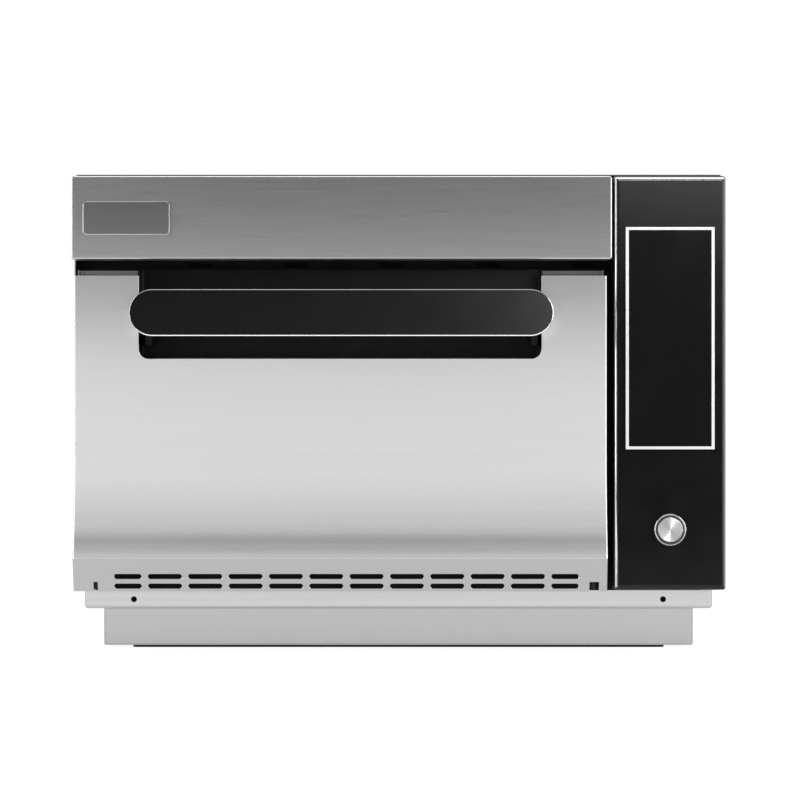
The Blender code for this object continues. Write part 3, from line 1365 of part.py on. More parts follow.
def make_cooling_blower(finishes):
    low_reach = BLOWER_RADIUS + BLOWER_GROWTH / 2
    centre = (REAR_Y - BLOWER_REAR_INSET, SHELF_Z + low_reach)
    start = POWER_X - BLOWER_WIDTH / 2
    end = POWER_X + BLOWER_WIDTH / 2
    housing = add_prism(
        "cooling_blower_housing", finishes["galvanised"], "X", scroll_outline(centre, 0.0)[::-1], start, end,
    )
    hollow = bmesh.new()
    prism(hollow, "X", scroll_outline(centre, BLOWER_WALL)[::-1], start + BLOWER_WALL, end - BLOWER_WALL)
    cut(housing, hollow, "hollow")
    shaft_hole = WHEEL_SHAFT_RADIUS + SHAFT_HOLE_GAP
    mouths = bmesh.new()
    prism(mouths, "X", round_outline(BLOWER_INTAKE_RADIUS, centre), start - OVERRUN, start + 2 * BLOWER_WALL)
    prism(mouths, "X", round_outline(shaft_hole, centre, HOLE_STEPS), end - 2 * BLOWER_WALL, end + OVERRUN)
    cut(housing, mouths, "mouths")

    motor_start = end + FIT
    disc_end = end - BLOWER_WALL - WHEEL_SIDE_GAP
    disc_start = disc_end - WHEEL_DISC
    blade_start = start + BLOWER_WALL + WHEEL_SIDE_GAP
    spin = add_axis("cooling_wheel_spin", (disc_start, centre[0], centre[1]))
    wheel = add_turned(
        "cooling_wheel", finishes["galvanised"], "X", centre,
        [
            (WHEEL_HUB_RADIUS / 2, disc_start - WHEEL_HUB_RADIUS),
            (WHEEL_HUB_RADIUS, disc_start - WHEEL_HUB_RADIUS / 2),
            (WHEEL_HUB_RADIUS, disc_start),
            (WHEEL_RADIUS, disc_start),
            (WHEEL_RADIUS, disc_end),
            (WHEEL_SHAFT_RADIUS, disc_end),
            (WHEEL_SHAFT_RADIUS, motor_start + WHEEL_SHAFT_SEAT - FIT),
        ],
        body=spin,
    )
    blades = bmesh.new()
    fan_blades(
        blades, "X", centre, (WHEEL_RADIUS * WHEEL_BLADE_ROOT_SHARE, WHEEL_RADIUS - WHEEL_DISC),
        WHEEL_BLADE_LAG, WHEEL_BLADE_THICKNESS, WHEEL_BLADES, blade_start, disc_start + WHEEL_DISC / 2,
    )
    join(wheel, blades, "blades")
    bore = WHEEL_SHAFT_RADIUS + SHAFT_GAP
    motor_end = motor_start + BLOWER_MOTOR_LENGTH
    add_turned(
        "cooling_blower_motor", finishes["motor"], "X", centre,
        [
            (bore, motor_start + WHEEL_SHAFT_SEAT),
            (bore, motor_start),
            (BLOWER_MOTOR_RADIUS, motor_start),
            (BLOWER_MOTOR_RADIUS, motor_end - MOTOR_CHAMFER),
            (BLOWER_MOTOR_RADIUS - MOTOR_CHAMFER, motor_end),
        ],
    )


def make_door_skin(finishes, swing):
    # One folded sheet: a U across the door at each level of the nose's profile.
    rings = []
    for height_share, reach_share in DOOR_PROFILE_SHARES:
        front = FRONT_Y - DOOR_NOSE_REACH * reach_share
        corners = [(DOOR_LEFT, DOOR_BACK), (DOOR_LEFT, front), (DOOR_RIGHT, front), (DOOR_RIGHT, DOOR_BACK)]
        outline = thickened(rounded_path(corners, BEND_RADIUS), SHEET)
        rings.append(ring("Z", outline, DOOR_BOTTOM + DOOR_HEIGHT * height_share))
    mesh = bmesh.new()
    add_loft(mesh, rings)
    skin = add_part("door_skin", mesh, finishes["brushed"], swing)

    recess = bmesh.new()
    corners = [
        (RECESS_X - RECESS_WIDTH / 2, RECESS_FLOOR),
        (RECESS_X + RECESS_WIDTH / 2, RECESS_FLOOR),
        (RECESS_X + RECESS_WIDTH / 2, DOOR_TOP + OVERRUN),
        (RECESS_X - RECESS_WIDTH / 2, DOOR_TOP + OVERRUN),
    ]
    outline = rounded_path(corners, (RECESS_CORNER, RECESS_CORNER, 0, 0), FINE_STEPS, closed=True)
    prism(recess, "Y", outline, FRONT_Y - OVERRUN, FRONT_Y + OVERRUN)
    cut(skin, recess, "recess")

    holes = bmesh.new()
    front = FRONT_Y - DOOR_NOSE_REACH - OVERRUN
    back = FRONT_Y
    for lift in NOSE_VENT_LIFTS:
        z = DOOR_BOTTOM + lift
        for index in range(NOSE_VENT_LONG_COUNT):
            x = CAVITY_X + (index - (NOSE_VENT_LONG_COUNT - 1) / 2) * NOSE_VENT_PITCH
            outline = slot_outline(NOSE_VENT_LENGTH, NOSE_VENT_HEIGHT, (x, z), steps=NOSE_SLOT_STEPS)
            prism(holes, "Y", outline, front, back)
        gap = NOSE_VENT_PITCH - NOSE_VENT_LENGTH
        outer = NOSE_VENT_PITCH * NOSE_VENT_LONG_COUNT / 2 + gap / 2 + NOSE_VENT_SHORT / 2
        for side in (-1, 1):
            x = CAVITY_X + side * outer
            outline = slot_outline(NOSE_VENT_SHORT, NOSE_VENT_HEIGHT, (x, z), steps=NOSE_SLOT_STEPS)
            prism(holes, "Y", outline, front, back)
    cut(skin, holes, "vents")

    notches = bmesh.new()
    for (_, side), width in zip(hinge_places(), NOTCH_WIDTHS):
        x = HINGE_X + side * HINGE_SPREAD
        corners = [
            (x - width / 2, DOOR_BOTTOM - OVERRUN),
            (x + width / 2, DOOR_BOTTOM - OVERRUN),
            (x + width / 2, DOOR_BOTTOM + NOTCH_HEIGHT),
            (x - width / 2, DOOR_BOTTOM + NOTCH_HEIGHT),
        ]
        prism(notches, "Y", corners, front, back)
    cut(skin, notches, "notches")


def make_door_inside(finishes, swing):
    left = DOOR_LEFT + DOOR_FRAME_INSET
    right = DOOR_RIGHT - DOOR_FRAME_INSET
    frame_back = DOOR_BACK + SHEET
    corners = [
        (left, frame_back - DOOR_FRAME_FLANGE),
        (left, frame_back),
        (right, frame_back),
        (right, frame_back - DOOR_FRAME_FLANGE),
    ]
    outline = thickened(rounded_path(corners, BEND_RADIUS), -SHEET)
    add_prism(
        "door_frame", finishes["inner_steel"], "Z", outline,
        DOOR_BOTTOM + DOOR_FRAME_BOTTOM_RISE, DOOR_TOP + DOOR_FRAME_TOP_RISE, swing,
    )
    size = (CAVITY_WIDTH + 2 * CHOKE_LAP, CAVITY_HEIGHT + 2 * CHOKE_LAP)
    middle = (CAVITY_X, CAVITY_Z)
    add_pan(
        "door_choke_panel", finishes["liner"], "Y", size, middle, frame_back + FIT, CHOKE_FACE,
        CHOKE_CORNER, CHOKE_BEND, CHOKE_SHEET, swing,
    )
    inner_size = (CAVITY_WIDTH + 2 * (SEAL_LAP - SEAL_WIDTH), CAVITY_HEIGHT + 2 * (SEAL_LAP - SEAL_WIDTH))
    outer_size = (CAVITY_WIDTH + 2 * SEAL_LAP, CAVITY_HEIGHT + 2 * SEAL_LAP)
    outer = rounded_outline(outer_size, CAVITY_CORNER + SEAL_LAP, middle)
    inner = rounded_outline(inner_size, CAVITY_CORNER + SEAL_LAP - SEAL_WIDTH, middle)
    front = CHOKE_FACE + FIT
    back = FRAME_Y - FIT
    mesh = bmesh.new()
    add_loft(
        mesh,
        [ring("Y", outer, front), ring("Y", outer, back), ring("Y", inner, back), ring("Y", inner, front)],
        closed=True,
    )
    add_part("door_seal", mesh, finishes["seal"], swing)


def make_handle(finishes, swing):
    # The pan behind the handle: two sides, a floor and a back, open at the front and the top.
    lip_top = DOOR_TOP + RECESS_RISE
    front = FRONT_Y + SHEET + FIT
    half = RECESS_WIDTH / 2
    outer_corners = [
        (RECESS_X - half - RECESS_SHEET, RECESS_FLOOR - RECESS_SHEET),
        (RECESS_X + half + RECESS_SHEET, RECESS_FLOOR - RECESS_SHEET),
        (RECESS_X + half + RECESS_SHEET, lip_top),
        (RECESS_X - half - RECESS_SHEET, lip_top),
    ]
    outer_radii = (RECESS_CORNER + RECESS_SHEET, RECESS_CORNER + RECESS_SHEET, RECESS_LIP_CORNER, RECESS_LIP_CORNER)
    outline = rounded_path(outer_corners, outer_radii, FINE_STEPS, closed=True)
    pan = add_prism("handle_recess", finishes["black_panel"], "Y", outline, front, RECESS_BACK, swing)
    inner_corners = [
        (RECESS_X - half, RECESS_FLOOR),
        (RECESS_X + half, RECESS_FLOOR),
        (RECESS_X + half, lip_top + OVERRUN),
        (RECESS_X - half, lip_top + OVERRUN),
    ]
    inside = bmesh.new()
    prism(
        inside, "Y", rounded_path(inner_corners, (RECESS_CORNER, RECESS_CORNER, 0, 0), FINE_STEPS, closed=True),
        front - OVERRUN, RECESS_BACK - RECESS_SHEET,
    )
    cut(pan, inside, "inside")

    def grip_outline(inset):
        height = HANDLE_HEIGHT - 2 * HANDLE_RIM - 2 * inset
        width = HANDLE_WIDTH - 2 * HANDLE_RIM - 2 * inset
        return slot_outline(width, height, (HANDLE_X, HANDLE_Z), steps=GRIP_STEPS)

    def trim_outline(inset):
        height = HANDLE_HEIGHT - 2 * inset
        width = HANDLE_WIDTH - 2 * inset
        return slot_outline(width, height, (HANDLE_X, HANDLE_Z), steps=GRIP_STEPS)

    face_back = HANDLE_FRONT + HANDLE_FACE
    add_pillow(
        "handle_grip", finishes["black_handle"], "Y", grip_outline, HANDLE_FRONT, face_back,
        HANDLE_FACE_BEND, swing,
    )
    add_pillow(
        "handle_trim", finishes["handle_metal"], "Y", trim_outline, HANDLE_BACK, face_back + FIT,
        HANDLE_BEND, swing,
    )
    for label, side in hinge_places():
        x = HANDLE_X + side * (HANDLE_WIDTH / 2 - POST_INSET)
        outline = rounded_outline((POST_WIDTH, POST_HEIGHT), BEND_RADIUS, (x, HANDLE_Z - POST_DROP))
        add_prism(
            "handle_post_" + label, finishes["handle_metal"], "Y", outline,
            HANDLE_BACK + FIT, RECESS_BACK - RECESS_SHEET - FIT, swing,
        )


def make_hinge(finishes, swing, label, side):
    # A plate through the front frame carries the pin. The door's arm turns beside it.
    x = HINGE_X + side * HINGE_SPREAD
    half = HINGE_PLATE / 2
    leg = PAN_FRONT + BASE_SHEET + BEND_RADIUS
    bracket_back = leg + BRACKET_TAIL
    corners = [
        (HINGE_Y - BRACKET_TAB_REACH, HINGE_Z - BRACKET_TAB_LOW),
        (HINGE_Y - BRACKET_LOBE, HINGE_Z - BRACKET_TAB_LOW),
        (HINGE_Y, HINGE_Z - BRACKET_LOBE),
        (leg, HINGE_Z - BRACKET_LOBE),
        (leg, SHELF_Z),
        (bracket_back + BRACKET_FOOT, SHELF_Z),
        (bracket_back, HINGE_Z + BRACKET_LOBE),
        (HINGE_Y - BRACKET_LOBE, HINGE_Z + BRACKET_LOBE),
        (HINGE_Y - BRACKET_LOBE, HINGE_Z - BRACKET_TAB_HIGH),
        (HINGE_Y - BRACKET_TAB_REACH, HINGE_Z - BRACKET_TAB_HIGH),
    ]
    radii = (0, 0, 0, 0, 0, 0, BEND_RADIUS, BRACKET_LOBE / 2, 0, 0)
    bracket = add_prism(
        "hinge_bracket_" + label, finishes["galvanised"], "X",
        rounded_path(corners, radii, closed=True), x - half, x + half,
    )
    bore = round_outline(PIN_RADIUS + PIN_GAP, (HINGE_Y, HINGE_Z), ROUND_STEPS // 2)
    hole = bmesh.new()
    prism(hole, "X", bore, x - half - OVERRUN, x + half + OVERRUN)
    cut(bracket, hole, "bore")

    arm_outer = x - side * (half + HINGE_SIDE_GAP)
    arm_inner = arm_outer - side * HINGE_PLATE
    arm_back = DOOR_BACK - FIT
    arm_top = HINGE_Z + ARM_LENGTH
    arm_front = arm_back - ARM_WIDTH
    strap_bottom = DOOR_BOTTOM + DOOR_FRAME_BOTTOM_RISE
    corners = [
        (HINGE_Y - ARM_LOBE, HINGE_Z - ARM_LOBE),
        (HINGE_Y + ARM_LOBE, HINGE_Z - ARM_LOBE),
        (HINGE_Y + ARM_LOBE, HINGE_Z + ARM_LOBE),
        (arm_back, strap_bottom - SHEET),
        (arm_back, arm_top),
        (arm_front, arm_top),
        (arm_front, strap_bottom - SHEET),
        (HINGE_Y - ARM_LOBE, HINGE_Z + ARM_LOBE),
    ]
    lobe = ARM_LOBE - SMALLEST_RADIUS
    radii = (lobe, lobe, 0, 0, ARM_LOBE / 2, ARM_LOBE / 2, 0, 0)
    arm = add_prism(
        "hinge_arm_" + label, finishes["galvanised"], "X",
        rounded_path(corners, radii, closed=True), min(arm_outer, arm_inner), max(arm_outer, arm_inner), swing,
    )
    hole = bmesh.new()
    prism(hole, "X", bore, min(arm_outer, arm_inner) - OVERRUN, max(arm_outer, arm_inner) + OVERRUN)
    cut(arm, hole, "bore")

    head = x + side * (half + FIT)
    tip = arm_inner - side * FIT
    add_turned(
        "hinge_pin_" + label, finishes["pin_steel"], "X", (HINGE_Y, HINGE_Z),
        [
            (PIN_RADIUS, tip),
            (PIN_RADIUS, head),
            (PIN_HEAD_RADIUS, head),
            (PIN_HEAD_RADIUS, head + side * PIN_HEAD),
        ],
        steps=ROUND_STEPS // 2,
    )


def make_latch(finishes, swing, label, side):
    # A hook on the door's frame enters a slot in the front frame and its switch block.
    x = CAVITY_X + side * LATCH_SPREAD
    low = LATCH_Z
    high = low + LATCH_HEIGHT
    root = DOOR_BACK + SHEET + FIT
    tip = root + LATCH_REACH
    neck_low = low + LATCH_TOOTH
    corners = [
        (root, low - LATCH_ROOT_RISE),
        (root + LATCH_TOOTH, low - LATCH_ROOT_RISE),
        (root + 2 * LATCH_TOOTH, neck_low),
        (tip - 2 * LATCH_TOOTH, neck_low),
        (tip - LATCH_TOOTH, low),
        (tip, low + LATCH_TOOTH),
        (tip, high),
        (root + 2 * LATCH_TOOTH, high),
        (root + LATCH_TOOTH, high + LATCH_ROOT_RISE),
        (root, high + LATCH_ROOT_RISE),
    ]
    add_prism(
        "latch_hook_" + label, finishes["black_plastic"], "X", corners,
        x - LATCH_WIDTH / 2, x + LATCH_WIDTH / 2, swing,
    )
    slot_low = low - LATCH_SLOT_LOW
    slot_high = high + LATCH_SLOT_HIGH
    middle = (x, (slot_low + slot_high) / 2)
    slot = (LATCH_WIDTH + 2 * LATCH_SLOT_SIDE, slot_high - slot_low)
    front = FRAME_BACK + FIT
    block = add_prism(
        "latch_block_" + label, finishes["black_plastic"], "Y",
        rounded_outline((LATCH_BLOCK_WIDTH, slot[1] + 2 * LATCH_BLOCK_WALL), SHEET, middle, 1),
        front, front + LATCH_BLOCK_DEPTH,
    )
    pocket = bmesh.new()
    prism(
        pocket, "Y", rounded_outline(slot, SHEET, middle, 1),
        front - OVERRUN, front + LATCH_BLOCK_DEPTH - LATCH_BLOCK_BACK,
    )
    cut(block, pocket, "pocket")


def make_door(finishes):
    swing = add_axis("door_hinge", (CAVITY_X, HINGE_Y, HINGE_Z))
    make_door_skin(finishes, swing)
    make_door_inside(finishes, swing)
    make_handle(finishes, swing)
    for label, side in hinge_places():
        make_hinge(finishes, swing, label, side)
        make_latch(finishes, swing, label, side)


def make_finishes():
    # Name: colour, roughness, metallic
    values = {
        "brushed": ((0.62, 0.62, 0.61), 0.32, 1.0),
        "plinth": ((0.50, 0.50, 0.50), 0.38, 1.0),
        "chassis": ((0.60, 0.60, 0.59), 0.30, 1.0),
        "cabinet": ((0.55, 0.55, 0.55), 0.36, 1.0),
        "frame": ((0.05, 0.05, 0.05), 0.50, 0.6),
        "inner_steel": ((0.30, 0.30, 0.30), 0.40, 1.0),
        "liner": ((0.48, 0.48, 0.47), 0.34, 1.0),
        "plate": ((0.55, 0.55, 0.55), 0.25, 1.0),
        "black_panel": ((0.016, 0.016, 0.017), 0.35, 0.0),
        "black_handle": ((0.018, 0.018, 0.019), 0.42, 0.0),
        "handle_metal": ((0.75, 0.75, 0.75), 0.20, 1.0),
        "button_metal": ((0.66, 0.66, 0.66), 0.22, 1.0),
        "white_line": ((0.85, 0.85, 0.85), 0.40, 0.0),
        "display_glass": ((0.010, 0.010, 0.011), 0.08, 0.0),
        "black_plastic": ((0.02, 0.02, 0.02), 0.55, 0.0),
        "rubber": ((0.02, 0.02, 0.02), 0.80, 0.0),
        "seal": ((0.06, 0.06, 0.06), 0.70, 0.0),
        "ceramic": ((0.62, 0.53, 0.42), 0.80, 0.0),
        "insulation": ((0.80, 0.79, 0.74), 0.95, 0.0),
        "fan_steel": ((0.50, 0.50, 0.50), 0.35, 1.0),
        "element": ((0.10, 0.09, 0.09), 0.50, 1.0),
        "motor": ((0.12, 0.12, 0.13), 0.45, 0.8),
        "aluminium": ((0.70, 0.70, 0.71), 0.35, 1.0),
        "transformer": ((0.20, 0.12, 0.07), 0.50, 0.4),
        "galvanised": ((0.56, 0.57, 0.58), 0.42, 1.0),
        "pin_steel": ((0.60, 0.60, 0.60), 0.25, 1.0),
        "board": ((0.02, 0.14, 0.06), 0.45, 0.0),
    }
    return {name: make_material(name, *value) for name, value in values.items()}


def main():
    remove_old_objects()
    finishes = make_finishes()
    make_base(finishes)
    make_wrap(finishes)
    make_rear_panel(finishes)
    make_front_frame(finishes)
    make_front_sill(finishes)
    make_fascia(finishes)
    make_control_panel(finishes)
    make_chamber(finishes)
    make_hot_air(finishes)
    make_microwave(finishes)
    make_power_parts(finishes)
    make_cooling_blower(finishes)
    make_door(finishes)


main()
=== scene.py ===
import math

import bmesh
import bpy
import numpy
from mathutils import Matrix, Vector
from mathutils.geometry import delaunay_2d_cdt


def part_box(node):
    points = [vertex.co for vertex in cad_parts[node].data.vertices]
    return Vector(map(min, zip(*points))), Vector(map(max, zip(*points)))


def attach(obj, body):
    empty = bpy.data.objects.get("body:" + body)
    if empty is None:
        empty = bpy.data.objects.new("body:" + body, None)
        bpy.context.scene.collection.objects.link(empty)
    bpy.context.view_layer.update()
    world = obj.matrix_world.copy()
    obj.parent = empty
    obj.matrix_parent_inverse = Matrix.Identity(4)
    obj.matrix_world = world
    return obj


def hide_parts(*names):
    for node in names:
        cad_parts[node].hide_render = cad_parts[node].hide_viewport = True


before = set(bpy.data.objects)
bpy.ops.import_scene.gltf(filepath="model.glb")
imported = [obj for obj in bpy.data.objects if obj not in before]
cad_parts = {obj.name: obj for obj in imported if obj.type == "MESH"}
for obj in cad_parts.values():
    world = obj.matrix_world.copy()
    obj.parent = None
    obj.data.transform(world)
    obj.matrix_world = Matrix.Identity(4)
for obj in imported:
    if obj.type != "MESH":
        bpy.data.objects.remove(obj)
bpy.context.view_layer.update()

# Folded sheet, in metres like every size here that names no other unit
sheets = {
    "wall": 0.0012,
    "bend": 0.0026,
    "corner": 0.0028,
    "leastCorner": 0.0001,  # what a corner keeps inside a bend
    "bendSteps": 8,
    "cornerSteps": 6,
    "rim": 0.00018,  # the deburred edge round cut openings
    "cutReach": 0.006,  # how far a cutter stands out to each side of a face
    "smoothAngle": math.radians(38),
    "softAngle": math.radians(50),  # sharper edges are softened
    "flatWeight": 60,  # how strongly a large face holds its own normal
}


# Shapes


def ringAt(outline, level, axis="Y"):
    place = "XYZ".index(axis)
    return [Vector((*point[:place], level, *point[place:])) for point in outline]


def roundedBox(size, radius, centre, steps=None):
    steps = steps or sheets["cornerSteps"]
    points = []
    for quarter, (side, level) in enumerate(((1, 1), (-1, 1), (-1, -1), (1, -1))):
        for step in range(steps + 1):
            angle = (quarter + step / steps) * math.pi / 2
            points.append((
                centre[0] + side * (size[0] / 2 - radius) + radius * math.cos(angle),
                centre[1] + level * (size[1] / 2 - radius) + radius * math.sin(angle),
            ))
    return points


def insetBox(size, inset, corner, centre, steps=None):
    smaller = (size[0] - 2 * inset, size[1] - 2 * inset)
    return roundedBox(smaller, max(corner, sheets["leastCorner"]), centre, steps)


def pill(length, height, centre, steps=16):
    points = []
    for side, start in ((1, -0.5), (-1, 0.5)):
        for step in range(steps + 1):
            angle = (start + step / steps) * math.pi
            across = side * (length - height) / 2 + height / 2 * math.cos(angle)
            points.append((centre[0] + across, centre[1] + height / 2 * math.sin(angle)))
    return points


def circle(radius, centre, steps):
    turns = [2 * math.pi * step / steps for step in range(steps)]
    return [(centre[0] + radius * math.cos(turn), centre[1] + radius * math.sin(turn)) for turn in turns]


def roundedPath(corners, radii, steps):
    points = []
    for index, radius in enumerate(radii):
        here = Vector(corners[index])
        if radius == 0:
            points.append(tuple(here))
            continue
        arriving = (here - Vector(corners[index - 1])).normalized()
        leaving = (Vector(corners[(index + 1) % len(corners)]) - here).normalized()
        turn = math.atan2(arriving.cross(leaving), arriving.dot(leaving))
        start = here - arriving * radius * math.tan(abs(turn) / 2)
        normal = Vector((-arriving.y, arriving.x)) * math.copysign(1, turn)
        centre = start + normal * radius
        spoke = -normal * radius
        for step in range(steps + 1):
            angle = turn * step / steps
            points.append((
                centre.x + spoke.x * math.cos(angle) - spoke.y * math.sin(angle),
                centre.y + spoke.x * math.sin(angle) + spoke.y * math.cos(angle),
            ))
    return points


def thickened(path, wall):
    # An open path becomes a closed strip, with the wall to the right of it
    offset = []
    for index, point in enumerate(path):
        here = Vector(point)
        normals = []
        for first, second in ((index - 1, index), (index, index + 1)):
            if first >= 0 and second < len(path):
                run = (Vector(path[second]) - Vector(path[first])).normalized()
                normals.append(Vector((run.y, -run.x)))
        shift = normals[0]
        if len(normals) == 2:
            shift = (normals[0] + normals[1]) / (1 + normals[0].dot(normals[1]))
        offset.append(tuple(here + shift * wall))
    return list(path) + offset[::-1]


def rolledEdge(bend, steps):
    # Inset and depth at each step from the side to the face
    angles = [math.pi / 2 * step / steps for step in range(steps + 1)]
    return [(bend * (1 - math.cos(angle)), bend * (1 - math.sin(angle))) for angle in angles]


def loft(mesh, rings, closed=False):
    rows = [[mesh.verts.new(point) for point in points] for points in rings]
    pairs = list(zip(rows, rows[1:])) + ([(rows[-1], rows[0])] if closed else [])
    count = len(rows[0])
    for lower, upper in pairs:
        for index in range(count):
            after = (index + 1) % count
            mesh.faces.new((lower[index], lower[after], upper[after], upper[index]))
    if not closed:
        mesh.faces.new(rows[0][::-1])
        mesh.faces.new(rows[-1])


def makeObject(name, mesh):
    bmesh.ops.recalc_face_normals(mesh, faces=mesh.faces[:])
    data = bpy.data.meshes.new(name)
    mesh.to_mesh(data)
    mesh.free()
    piece = bpy.data.objects.new(name, data)
    bpy.context.scene.collection.objects.link(piece)
    return piece


def lofted(name, rings, closed=False):
    mesh = bmesh.new()
    loft(mesh, rings, closed)
    return makeObject(name, mesh)


def stacked(name, size, centre, sections, closed=False, steps=None):
    # Each section is an inset, a level along Y and a corner radius
    rings = [ringAt(insetBox(size, inset, corner, centre, steps), level) for inset, level, corner in sections]
    return lofted(name, rings, closed)


def turned(name, profile, centre, steps, closed=False):
    return lofted(name, [ringAt(circle(radius, centre, steps), level) for radius, level in profile], closed)


def applied(piece):
    # The modifiers' result becomes the piece's own mesh
    bpy.context.view_layer.update()
    evaluated = piece.evaluated_get(bpy.context.evaluated_depsgraph_get())
    data = bpy.data.meshes.new_from_object(evaluated)
    piece.modifiers.clear()
    piece.data = data
    return piece


def through(outline, level, axis="Y"):
    # A cutter through the face at this level
    return [ringAt(outline, level + way * sheets["cutReach"], axis) for way in (-1, 1)]


def cutOut(piece, cutters):
    mesh = bmesh.new()
    for rings in cutters:
        loft(mesh, rings)
    tool = makeObject(piece.name + "Tool", mesh)
    step = piece.modifiers.new("cut", "BOOLEAN")
    step.operation = "DIFFERENCE"
    step.solver = "EXACT"
    step.object = tool
    applied(piece)
    bpy.data.objects.remove(tool)


def softenEdges(piece, width):
    step = piece.modifiers.new("edges", "BEVEL")
    step.width = width
    step.segments = 1
    step.limit_method = "ANGLE"
    step.angle_limit = sheets["softAngle"]
    applied(piece)


def smoothed(piece, angle=None):
    # Flat faces stay flat, and only the bends between them shade round
    piece.data.shade_smooth()
    piece.data.set_sharp_from_angle(angle=angle or sheets["smoothAngle"])
    step = piece.modifiers.new("normals", "WEIGHTED_NORMAL")
    step.weight = sheets["flatWeight"]
    step.keep_sharp = True
    return applied(piece)


def dress(piece, finishes, body, slot, *nodes):
    piece.data.materials.clear()
    for finish in finishes if isinstance(finishes, tuple) else (finishes,):
        piece.data.materials.append(materials[finish])
    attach(piece, body)
    if nodes:
        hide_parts(*nodes)
    return piece


def boxOf(node, first, second):
    low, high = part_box(node)
    size = (high[first] - low[first], high[second] - low[second])
    centre = ((high[first] + low[first]) / 2, (high[second] + low[second]) / 2)
    return low, high, size, centre


def bendRings(axis, size, centre, openAt, faceAt, corner, bend):
    way = math.copysign(1, faceAt - openAt)
    rings = []
    for inset, depth in rolledEdge(bend, sheets["bendSteps"])[::-1]:
        rings.append(ringAt(insetBox(size, inset, corner - inset, centre), faceAt - way * depth, axis))
    rings.append(ringAt(roundedBox(size, corner, centre), openAt, axis))
    return rings


def pan(name, axis, size, centre, openAt, faceAt, corner, bend, wall):
    # A face with four sides folded back from it, open behind
    way = math.copysign(1, faceAt - openAt)
    inner = (size[0] - 2 * wall, size[1] - 2 * wall)
    outer = bendRings(axis, size, centre, openAt, faceAt, corner, bend)
    inside = bendRings(axis, inner, centre, openAt, faceAt - way * wall, corner - wall, bend - wall)
    return lofted(name, outer + inside[::-1])


def frontPan(name, node, bend):
    low, high, size, centre = boxOf(node, 0, 2)
    return pan(name, "Y", size, centre, high.y, low.y, sheets["corner"], bend, sheets["wall"])


def smoothCurve(points):
    # A smooth curve through rising places that makes no dip or bump of its own between them
    slopes = [(b[1] - a[1]) / (b[0] - a[0]) for a, b in zip(points, points[1:])]
    tangents = [slopes[0]]
    for before, after in zip(slopes, slopes[1:]):
        tangents.append(2 * before * after / (before + after) if before * after > 0 else 0.0)
    tangents.append(slopes[-1])

    def valueAt(place):
        if place <= points[0][0]:
            return points[0][1] + tangents[0] * (place - points[0][0])
        for (x1, y1), (x2, y2), first, second in zip(points, points[1:], tangents, tangents[1:]):
            if place <= x2:
                width = x2 - x1
                part = (place - x1) / width
                rest = 1 - part
                rise = y1 * (1 + 2 * part) * rest ** 2 + y2 * (3 - 2 * part) * part ** 2
                return rise + width * (first * part * rest ** 2 - second * rest * part ** 2)
        return points[-1][1]

    return valueAt


def surfaceNormal(surface, u, v):
    reach = 0.00002
    across = surface(u + reach, v) - surface(u - reach, v)
    up = surface(u, v + reach) - surface(u, v - reach)
    return across.cross(up).normalized()


def insideLoops(points, loops):
    # Even-odd test of many points against all the loops at once
    inside = numpy.zeros(len(points), bool)
    for loop in loops:
        start = numpy.array(loop)
        end = numpy.roll(start, -1, axis=0)
        for (x1, y1), (x2, y2) in zip(start, end):
            if y1 == y2:
                continue
            crosses = (points[:, 1] > y1) != (points[:, 1] > y2)
            inside ^= crosses & (points[:, 0] < (x2 - x1) * (points[:, 1] - y1) / (y2 - y1) + x1)
    return inside


def triangulated(loops, rows, columns):
    # The sheet laid flat: it fills the first loop around the others, with edges along each row and column
    weld = 1e-7
    points = []
    edges = []
    for loop in loops:
        start = len(points)
        points.extend(Vector(point) for point in loop)
        edges.extend((start + index, start + (index + 1) % len(loop)) for index in range(len(loop)))
    low, high = [[end(point[axis] for point in loops[0]) for axis in (0, 1)] for end in (min, max)]
    ends = [((low[0], v), (high[0], v)) for v in rows] + [((u, low[1]), (u, high[1])) for u in columns]
    for pair in ends:
        points.extend(Vector(end) for end in pair)
        edges.append((len(points) - 2, len(points) - 1))
    spots, _, triangles, _, _, _ = delaunay_2d_cdt(points, edges, [], 0, weld)
    middles = [sum((spots[index] for index in triangle), Vector((0, 0))) / 3 for triangle in triangles]
    keeps = insideLoops(numpy.array(middles), loops)
    return spots, [triangle for triangle, keep in zip(triangles, keeps) if keep]


def borderOf(spots, triangles):
    # The edges round the sheet and its openings, and how each point there moves into the sheet
    sharpest = 0.4  # holds the move back at a very sharp corner
    shared = {}
    for triangle in triangles:
        for first, second, third in ((0, 1, 2), (1, 2, 0), (2, 0, 1)):
            key = tuple(sorted((triangle[first], triangle[second])))
            shared.setdefault(key, []).append((triangle[first], triangle[second], triangle[third]))
    border = [found[0] for found in shared.values() if len(found) == 1]
    inward = {}
    for first, second, third in border:
        run = (spots[second] - spots[first]).normalized()
        normal = Vector((-run.y, run.x))
        if normal.dot(spots[third] - spots[first]) < 0:
            normal = -normal
        for index in (first, second):
            inward.setdefault(index, []).append(normal)
    shift = {}
    for index, normals in inward.items():
        total = sum(normals, Vector((0, 0))) / max(sharpest, 1 + normals[0].dot(normals[-1]))
        shift[index] = total if len(normals) == 2 else total * 0
    return border, shift


